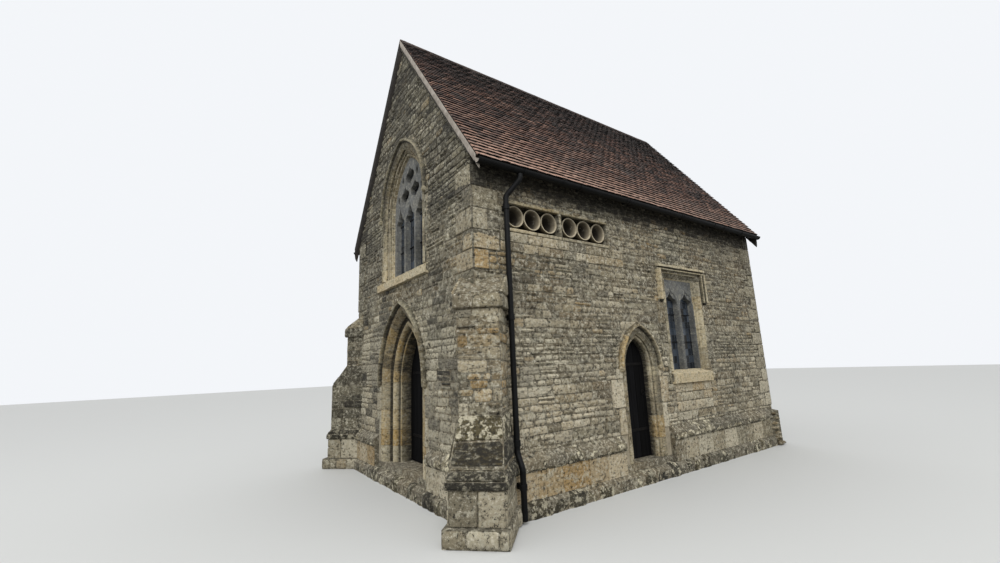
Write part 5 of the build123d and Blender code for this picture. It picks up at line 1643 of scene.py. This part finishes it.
def dress_frame():
    """Gives each CAD node the finish of the real piece."""
    chosen = {
        "Wrought iron": ("front_door_ironwork", "side_door_ironwork", "door_pintles"),
        "Painted cast iron": ("gutters", "gutter_brackets", "downpipes"),
        "Leaded window glass": ("window_glass",), "Thrown buff clay": ("clay_pots",),
        "Worn stone flags": ("floor",), "Handmade clay tile": ("ridge_tiles",),
        "Sawn oak timber": ("right_roof_slope", "left_roof_slope", "collars", "wall_plates"),
        "Weathered rafter oak": ("right_rafters", "left_rafters"),
        "Tooled tracery limestone": ("pointed_window_tracery", "square_window_tracery"),
    }
    finish_of = {name: made for made, names in chosen.items() for name in names}
    for name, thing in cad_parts.items():
        thing.data.materials.clear()
        made = finish_of.get(name, "Walling in its mortar")
        thing.data.materials.append(bpy.data.materials[made])
    # Cut arrises: about a finger off the tracery's, a little off the pots' rims
    for name, width in (("pointed_window_tracery", 0.024), ("square_window_tracery", 0.024),
                        ("clay_pots", 0.004)):
        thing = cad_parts[name]
        weld = thing.modifiers.new("Join seams", "WELD")
        weld.merge_threshold = 0.0002
        bevel = thing.modifiers.new("Cut arrises", "BEVEL")
        bevel.width = width
        bevel.segments = 1
        bevel.angle_limit = radians(50)
        bevel.use_clamp_overlap = True


# Stage
FLOOR_REACH = 60.0
KEY_PLACE = Vector((14, -12, 16))
KEY_AIM = Vector((0, 0, 3))
KEY_SIZE = 12
SENSOR_WIDTH = 36.0
LENS = 15.58
CAMERA_YAW = radians(54.5)
CAMERA_PITCH = radians(11.05)
CAMERA_ROLL = radians(-2.37)
CAMERA_FROM_CORNER = Vector((4.64, -2.9, 1.86))


def placed(name, data):
    """A new object in the scene."""
    thing = bpy.data.objects.new(name, data)
    bpy.context.scene.collection.objects.link(thing)
    return thing


def set_stage(look):
    """A pale floor, soft studio light and the camera."""
    mesh = bpy.data.meshes.new("studio_floor")
    corners = ((-1, -1), (1, -1), (1, 1), (-1, 1))
    mesh.from_pydata([(x * FLOOR_REACH, y * FLOOR_REACH, 0) for x, y in corners], [], [range(4)])
    floor = placed("studio_floor", mesh)
    # The camera sees a pale floor, which gives the stone no more light than open ground does
    tree, shader, place = finish("Studio floor", 0.9)
    seen_by = node(tree, "LightPath").outputs["Is Camera Ray"]
    join(tree, "Base Color", colour_mix(tree, seen_by, tuple(look.ground_colour) + (1.0,),
                                        tuple(look.floor_colour) + (1.0,)), shader)
    mesh.materials.append(bpy.data.materials["Studio floor"])
    world = bpy.data.worlds.new("studio")
    world.use_nodes = True
    bpy.context.scene.world = world
    tree = world.node_tree
    tree.nodes.clear()
    path = node(tree, "LightPath").outputs
    shown_to = reckon(tree, "MAXIMUM", path["Is Camera Ray"], path["Is Glossy Ray"])
    shown_to = reckon(tree, "MAXIMUM", shown_to, path["Is Transmission Ray"])
    soft = node(tree, "Background", {"Color": (1.0, 1.0, 1.0, 1.0), "Strength": look.world_strength})
    seen = node(tree, "Background", {"Color": (0.9, 0.92, 0.95, 1.0), "Strength": 1.0})
    shown = node(tree, "MixShader", {0: shown_to, 1: soft.outputs[0], 2: seen.outputs[0]})
    node(tree, "OutputWorld", {"Surface": shown.outputs[0]})
    lamp = bpy.data.lights.new("soft_key", "AREA")
    lamp.shape = "DISK"
    lamp.size = KEY_SIZE
    lamp.energy = look.key_power
    key = placed("soft_key", lamp)
    key.location = KEY_PLACE
    key.rotation_euler = (KEY_AIM - KEY_PLACE).to_track_quat("-Z", "Y").to_euler()
    camera = bpy.data.cameras.new("camera")
    camera.sensor_width = SENSOR_WIDTH
    camera.lens = LENS
    camera.clip_end = 200
    viewer = placed("camera", camera)
    viewer.matrix_world = (Matrix.Translation(CAMERA_FROM_CORNER + Vector((half_width, y_front, 0)))
                           @ Matrix.Rotation(CAMERA_YAW, 4, "Z")
                           @ Matrix.Rotation(pi / 2 + CAMERA_PITCH, 4, "X")
                           @ Matrix.Rotation(CAMERA_ROLL, 4, "Z"))
    bpy.context.scene.camera = viewer
    bpy.context.scene.view_settings.view_transform = "Standard"


# Sizes that a user would change
class StoneSizes(bpy.types.PropertyGroup):
    course_least: FloatProperty(name="Thinnest course", description="Least height of a rubble course",
                                default=0.05, unit="LENGTH")
    course_most: FloatProperty(name="Thickest course", description="Most height of a rubble course",
                               default=0.112, unit="LENGTH")
    stone_longest: FloatProperty(name="Longest stone", description="Most length of a rubble stone",
                                 default=0.46, unit="LENGTH")
    block_least: FloatProperty(name="Thinnest block", description="Least height of a buttress course",
                               default=0.07, unit="LENGTH")
    block_most: FloatProperty(name="Thickest block", description="Most height of a buttress course",
                              default=0.17, unit="LENGTH")
    buttress_half: FloatProperty(name="Buttress half width", description="Above its weathering",
                                 default=0.27, unit="LENGTH")
    buttress_reach: FloatProperty(name="Buttress reach", description="Above its weathering",
                                  default=0.13, unit="LENGTH")
    lower_half: FloatProperty(name="Lower half width", description="Below the buttress's weathering",
                              default=0.31, unit="LENGTH")
    lower_reach: FloatProperty(name="Lower reach", description="Below the buttress's weathering",
                               default=0.42, unit="LENGTH")


class RoofSizes(bpy.types.PropertyGroup):
    gauge: FloatProperty(name="Gauge", description="Length of tile that shows in each course",
                         default=0.1, unit="LENGTH")
    tile_width: FloatProperty(name="Tile width", description="Width of a plain tile",
                              default=0.165, unit="LENGTH")
    tile_lift: FloatProperty(name="Tail lift", description="How far a tail stands off the slope",
                             default=0.027, unit="LENGTH")
    ridge_tile: FloatProperty(name="Ridge tile length", description="Length of a ridge tile",
                              default=0.3, unit="LENGTH")


class GlassSizes(bpy.types.PropertyGroup):
    quarry_width: FloatProperty(name="Quarry width", description="Width of one pane of glass",
                                default=0.1, unit="LENGTH")
    quarry_height: FloatProperty(name="Quarry height", description="Height of one pane of glass",
                                 default=0.13, unit="LENGTH")
    rows_per_bar: IntProperty(name="Rows to a bar", description="Rows between iron bars",
                              default=4)


class DoorSizes(bpy.types.PropertyGroup):
    board: FloatProperty(name="Board width", description="Width of a door board", default=0.135,
                         unit="LENGTH")
    board_gap: FloatProperty(name="Board gap", description="Gap between two boards",
                             default=0.004, unit="LENGTH")


class StudioLook(bpy.types.PropertyGroup):
    floor_colour: FloatVectorProperty(name="Floor colour", description="Colour of the studio floor",
                                      subtype="COLOR", size=3, default=(0.62, 0.63, 0.62))
    ground_colour: FloatVectorProperty(name="Ground colour", description="What the floor gives back",
                                       subtype="COLOR", size=3, default=(0.2, 0.2, 0.19))
    world_strength: FloatProperty(name="World strength", description="Strength of the even light",
                                  default=0.95)
    key_power: FloatProperty(name="Key power", description="Power of the large soft lamp",
                             default=1900.0, unit="POWER")


class FinishesOperator(bpy.types.Operator):
    """Makes the finishes and gives them to the frame's own pieces"""
    bl_idname = "chapel.finishes"
    bl_label = "Finishes"

    def execute(self, context):
        make_finishes()
        dress_frame()
        return {"FINISHED"}


class WallsOperator(bpy.types.Operator):
    """Lays the coursed rubble and corner stones of the four walls"""
    bl_idname = "chapel.walls"
    bl_label = "Rubble walls"

    def execute(self, context):
        sizes = context.scene.chapel_stone
        lay_side_wall("right_wall_stones", right, 101, right_tint, True, sizes)
        lay_side_wall("left_wall_stones", left, 102, left_tint, False, sizes)
        lay_end_wall("front_wall_stones", front, 103, front_tint, True, sizes)
        lay_end_wall("back_wall_stones", back, 104, back_tint, False, sizes)
        return {"FINISHED"}


class ButtressesOperator(bpy.types.Operator):
    """Lays the stones of the two buttresses and the torn stubs"""
    bl_idname = "chapel.buttresses"
    bl_label = "Buttresses and stubs"

    def execute(self, context):
        sizes = context.scene.chapel_stone
        lay_buttress("right_buttress_stones", 1, NEAR_WEATHERING, 105, sizes)
        lay_buttress("left_buttress_stones", -1, FAR_WEATHERING, 106, sizes)
        lay_stubs()
        return {"FINISHED"}


class PlinthOperator(bpy.types.Operator):
    """Lays the footing, squared face and nosing of the plinth"""
    bl_idname = "chapel.plinth"
    bl_label = "Plinth"

    def execute(self, context):
        lay_plinth()
        return {"FINISHED"}


class DoorwaysOperator(bpy.types.Operator):
    """Builds the moulded doorways stone by stone, with their hoods"""
    bl_idname = "chapel.doorways"
    bl_label = "Doorways"

    def execute(self, context):
        rng = Random(107)
        heap = Heap()
        lay_arch(heap, front, front_arch, front_mould, JAMB_BASE, rng, door_tint, 0.32, 0.27,
                 tone=0.28, soiled=0.22)
        for side in (-1, 1):
            lay_arch_block(heap, front, front_arch, side, front_mould,
                           floor_level - FRONT_DOOR_SPRINGING,
                           JAMB_BASE - 0.003 - FRONT_DOOR_SPRINGING, rng, block_tint(side, 0.4, rng))
        lay_arch_bed(heap, front, front_arch, front_bed, floor_level)
        piece = heap.piece("front_doorway_stones", BEDDED, "dressed_limestone")
        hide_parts("front_doorway")
        heap = Heap()
        lay_arch(heap, right, side_arch, side_mould, floor_level, rng, dressing_tint, 0.3, 0.24,
                 soiled=0.35)
        lay_arch_bed(heap, right, side_arch, side_bed, floor_level)
        piece = heap.piece("side_doorway_stones", BEDDED, "dressed_limestone")
        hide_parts("side_doorway")
        for place, face, arch, reach, tint in (("front", front, front_arch, 0.085, hood_tint),
                                               ("side", right, side_arch, 0.08, dressing_tint)):
            heap = Heap()
            lay_hood(heap, face, arch, reach, rng, tint)
            piece = heap.piece(place + "_hood_stones", DRESSED, "dressed_limestone")
            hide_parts(place + "_door_hood")
        return {"FINISHED"}


class WindowsOperator(bpy.types.Operator):
    """Builds the stonework of the four windows"""
    bl_idname = "chapel.windows"
    bl_label = "Window stonework"

    def execute(self, context):
        rng = Random(108)
        heap, hoods, sills, squares, labels, ribs = (Heap() for number in range(6))
        for face in (front, back):
            lay_arch(heap, face, gable_arch, gable_mould, gable_sill, rng, dressing_tint, 0.3, 0.26,
                     tone=-0.05, soiled=0.45)
            lay_arch_bed(heap, face, gable_arch, gable_bed, gable_sill)
            lay_hood(hoods, face, gable_arch, 0.062, rng, hood_tint)
            lay_sill(sills, face, -gable_half - JAMB_STONE, gable_half + JAMB_STONE, gable_sill_bed,
                     gable_sill, gable_reveal, rng, pale_tint, 0.4)
        for face, middle in ((right, side_window_middle), (left, body_length - side_window_middle)):
            lay_square_window(squares, face, middle, rng, dressing_tint)
            lay_label(labels, face, middle, rng, pale_tint)
            lay_light_ribs(ribs, face, middle)
            lay_sill(sills, face, middle - side_surround_half, middle + side_surround_half,
                     sill_bed, side_window_sill, side_reveal, rng, pale_tint, 2.0)
        piece = heap.piece("gable_window_stones", BEDDED, "dressed_limestone")
        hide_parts("pointed_window_surrounds")
        piece = hoods.piece("gable_hood_stones", DRESSED, "dressed_limestone")
        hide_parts("pointed_window_hoods")
        piece = labels.piece("label_stones", DRESSED, "dressed_limestone")
        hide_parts("square_window_labels")
        sills.piece("sill_stones", DRESSED, "dressed_limestone")
        ribs.piece("side_light_ribs", ["Tooled tracery limestone"], "dressed_limestone")
        squares.piece("square_window_stones", DRESSED, "dressed_limestone")
        return {"FINISHED"}


class RoofOperator(bpy.types.Operator):
    """Lays the tiles, the ridge and the verge mortar"""
    bl_idname = "chapel.roof"
    bl_label = "Roof"

    def execute(self, context):
        sizes = context.scene.chapel_roof
        lay_slope("right_slope_tiles", 1, 109, sizes)
        lay_slope("left_slope_tiles", -1, 110, sizes)
        lay_ridge(sizes)
        lay_verges()
        return {"FINISHED"}


class GlazingOperator(bpy.types.Operator):
    """Makes the quarries, cames and saddle bars"""
    bl_idname = "chapel.glazing"
    bl_label = "Glazing"

    def execute(self, context):
        lay_glazing(context.scene.chapel_glass)
        return {"FINISHED"}


class LeavesOperator(bpy.types.Operator):
    """Makes the boards and nails of both door leaves"""
    bl_idname = "chapel.leaves"
    bl_label = "Door leaves"

    def execute(self, context):
        sizes = context.scene.chapel_doors
        lay_leaf("front_leaf_boards", "front_door", "front_leaf", front, 0.0, FRONT_DOOR_SPRINGING,
                 111, sizes)
        lay_leaf("side_leaf_boards", "side_door", "side_leaf", right, side_door_middle,
                 SIDE_DOOR_SPRINGING, 112, sizes)
        return {"FINISHED"}


class FittingsOperator(bpy.types.Operator):
    """Adds the gutter sockets and the clay pots' bedding and holes"""
    bl_idname = "chapel.fittings"
    bl_label = "Gutter and pot details"

    def execute(self, context):
        lay_gutter_joints()
        lay_pot_details()
        return {"FINISHED"}


class StageOperator(bpy.types.Operator):
    """Sets the floor, the light and the camera"""
    bl_idname = "chapel.stage"
    bl_label = "Stage"

    def execute(self, context):
        set_stage(context.scene.chapel_studio)
        return {"FINISHED"}


OPERATORS = (FinishesOperator, WallsOperator, ButtressesOperator, PlinthOperator, DoorwaysOperator,
             WindowsOperator, RoofOperator, GlazingOperator, LeavesOperator, FittingsOperator,
             StageOperator)
SETTINGS = {"chapel_stone": StoneSizes, "chapel_roof": RoofSizes, "chapel_glass": GlassSizes,
            "chapel_doors": DoorSizes, "chapel_studio": StudioLook}


class ChapelPanel(bpy.types.Panel):
    """Lists the chapel's steps"""
    bl_idname = "VIEW3D_PT_chapel"
    bl_label = "Chapel"
    bl_space_type = "VIEW_3D"
    bl_region_type = "UI"
    bl_category = "Chapel"

    def draw(self, context):
        for step in OPERATORS:
            self.layout.operator(step.bl_idname)


def register():
    for made in tuple(SETTINGS.values()) + OPERATORS + (ChapelPanel,):
        bpy.utils.register_class(made)
    for name, group in SETTINGS.items():
        setattr(bpy.types.Scene, name, PointerProperty(type=group))


def unregister():
    for name in SETTINGS:
        delattr(bpy.types.Scene, name)
    for made in reversed(tuple(SETTINGS.values()) + OPERATORS + (ChapelPanel,)):
        bpy.utils.unregister_class(made)


def main():
    register()
    for step in OPERATORS:
        name = step.bl_idname.split(".")[1]
        if getattr(bpy.ops.chapel, name)() != {"FINISHED"}:
            raise RuntimeError(f"{step.bl_label} did not finish")


if __name__ == "__main__":
    main()
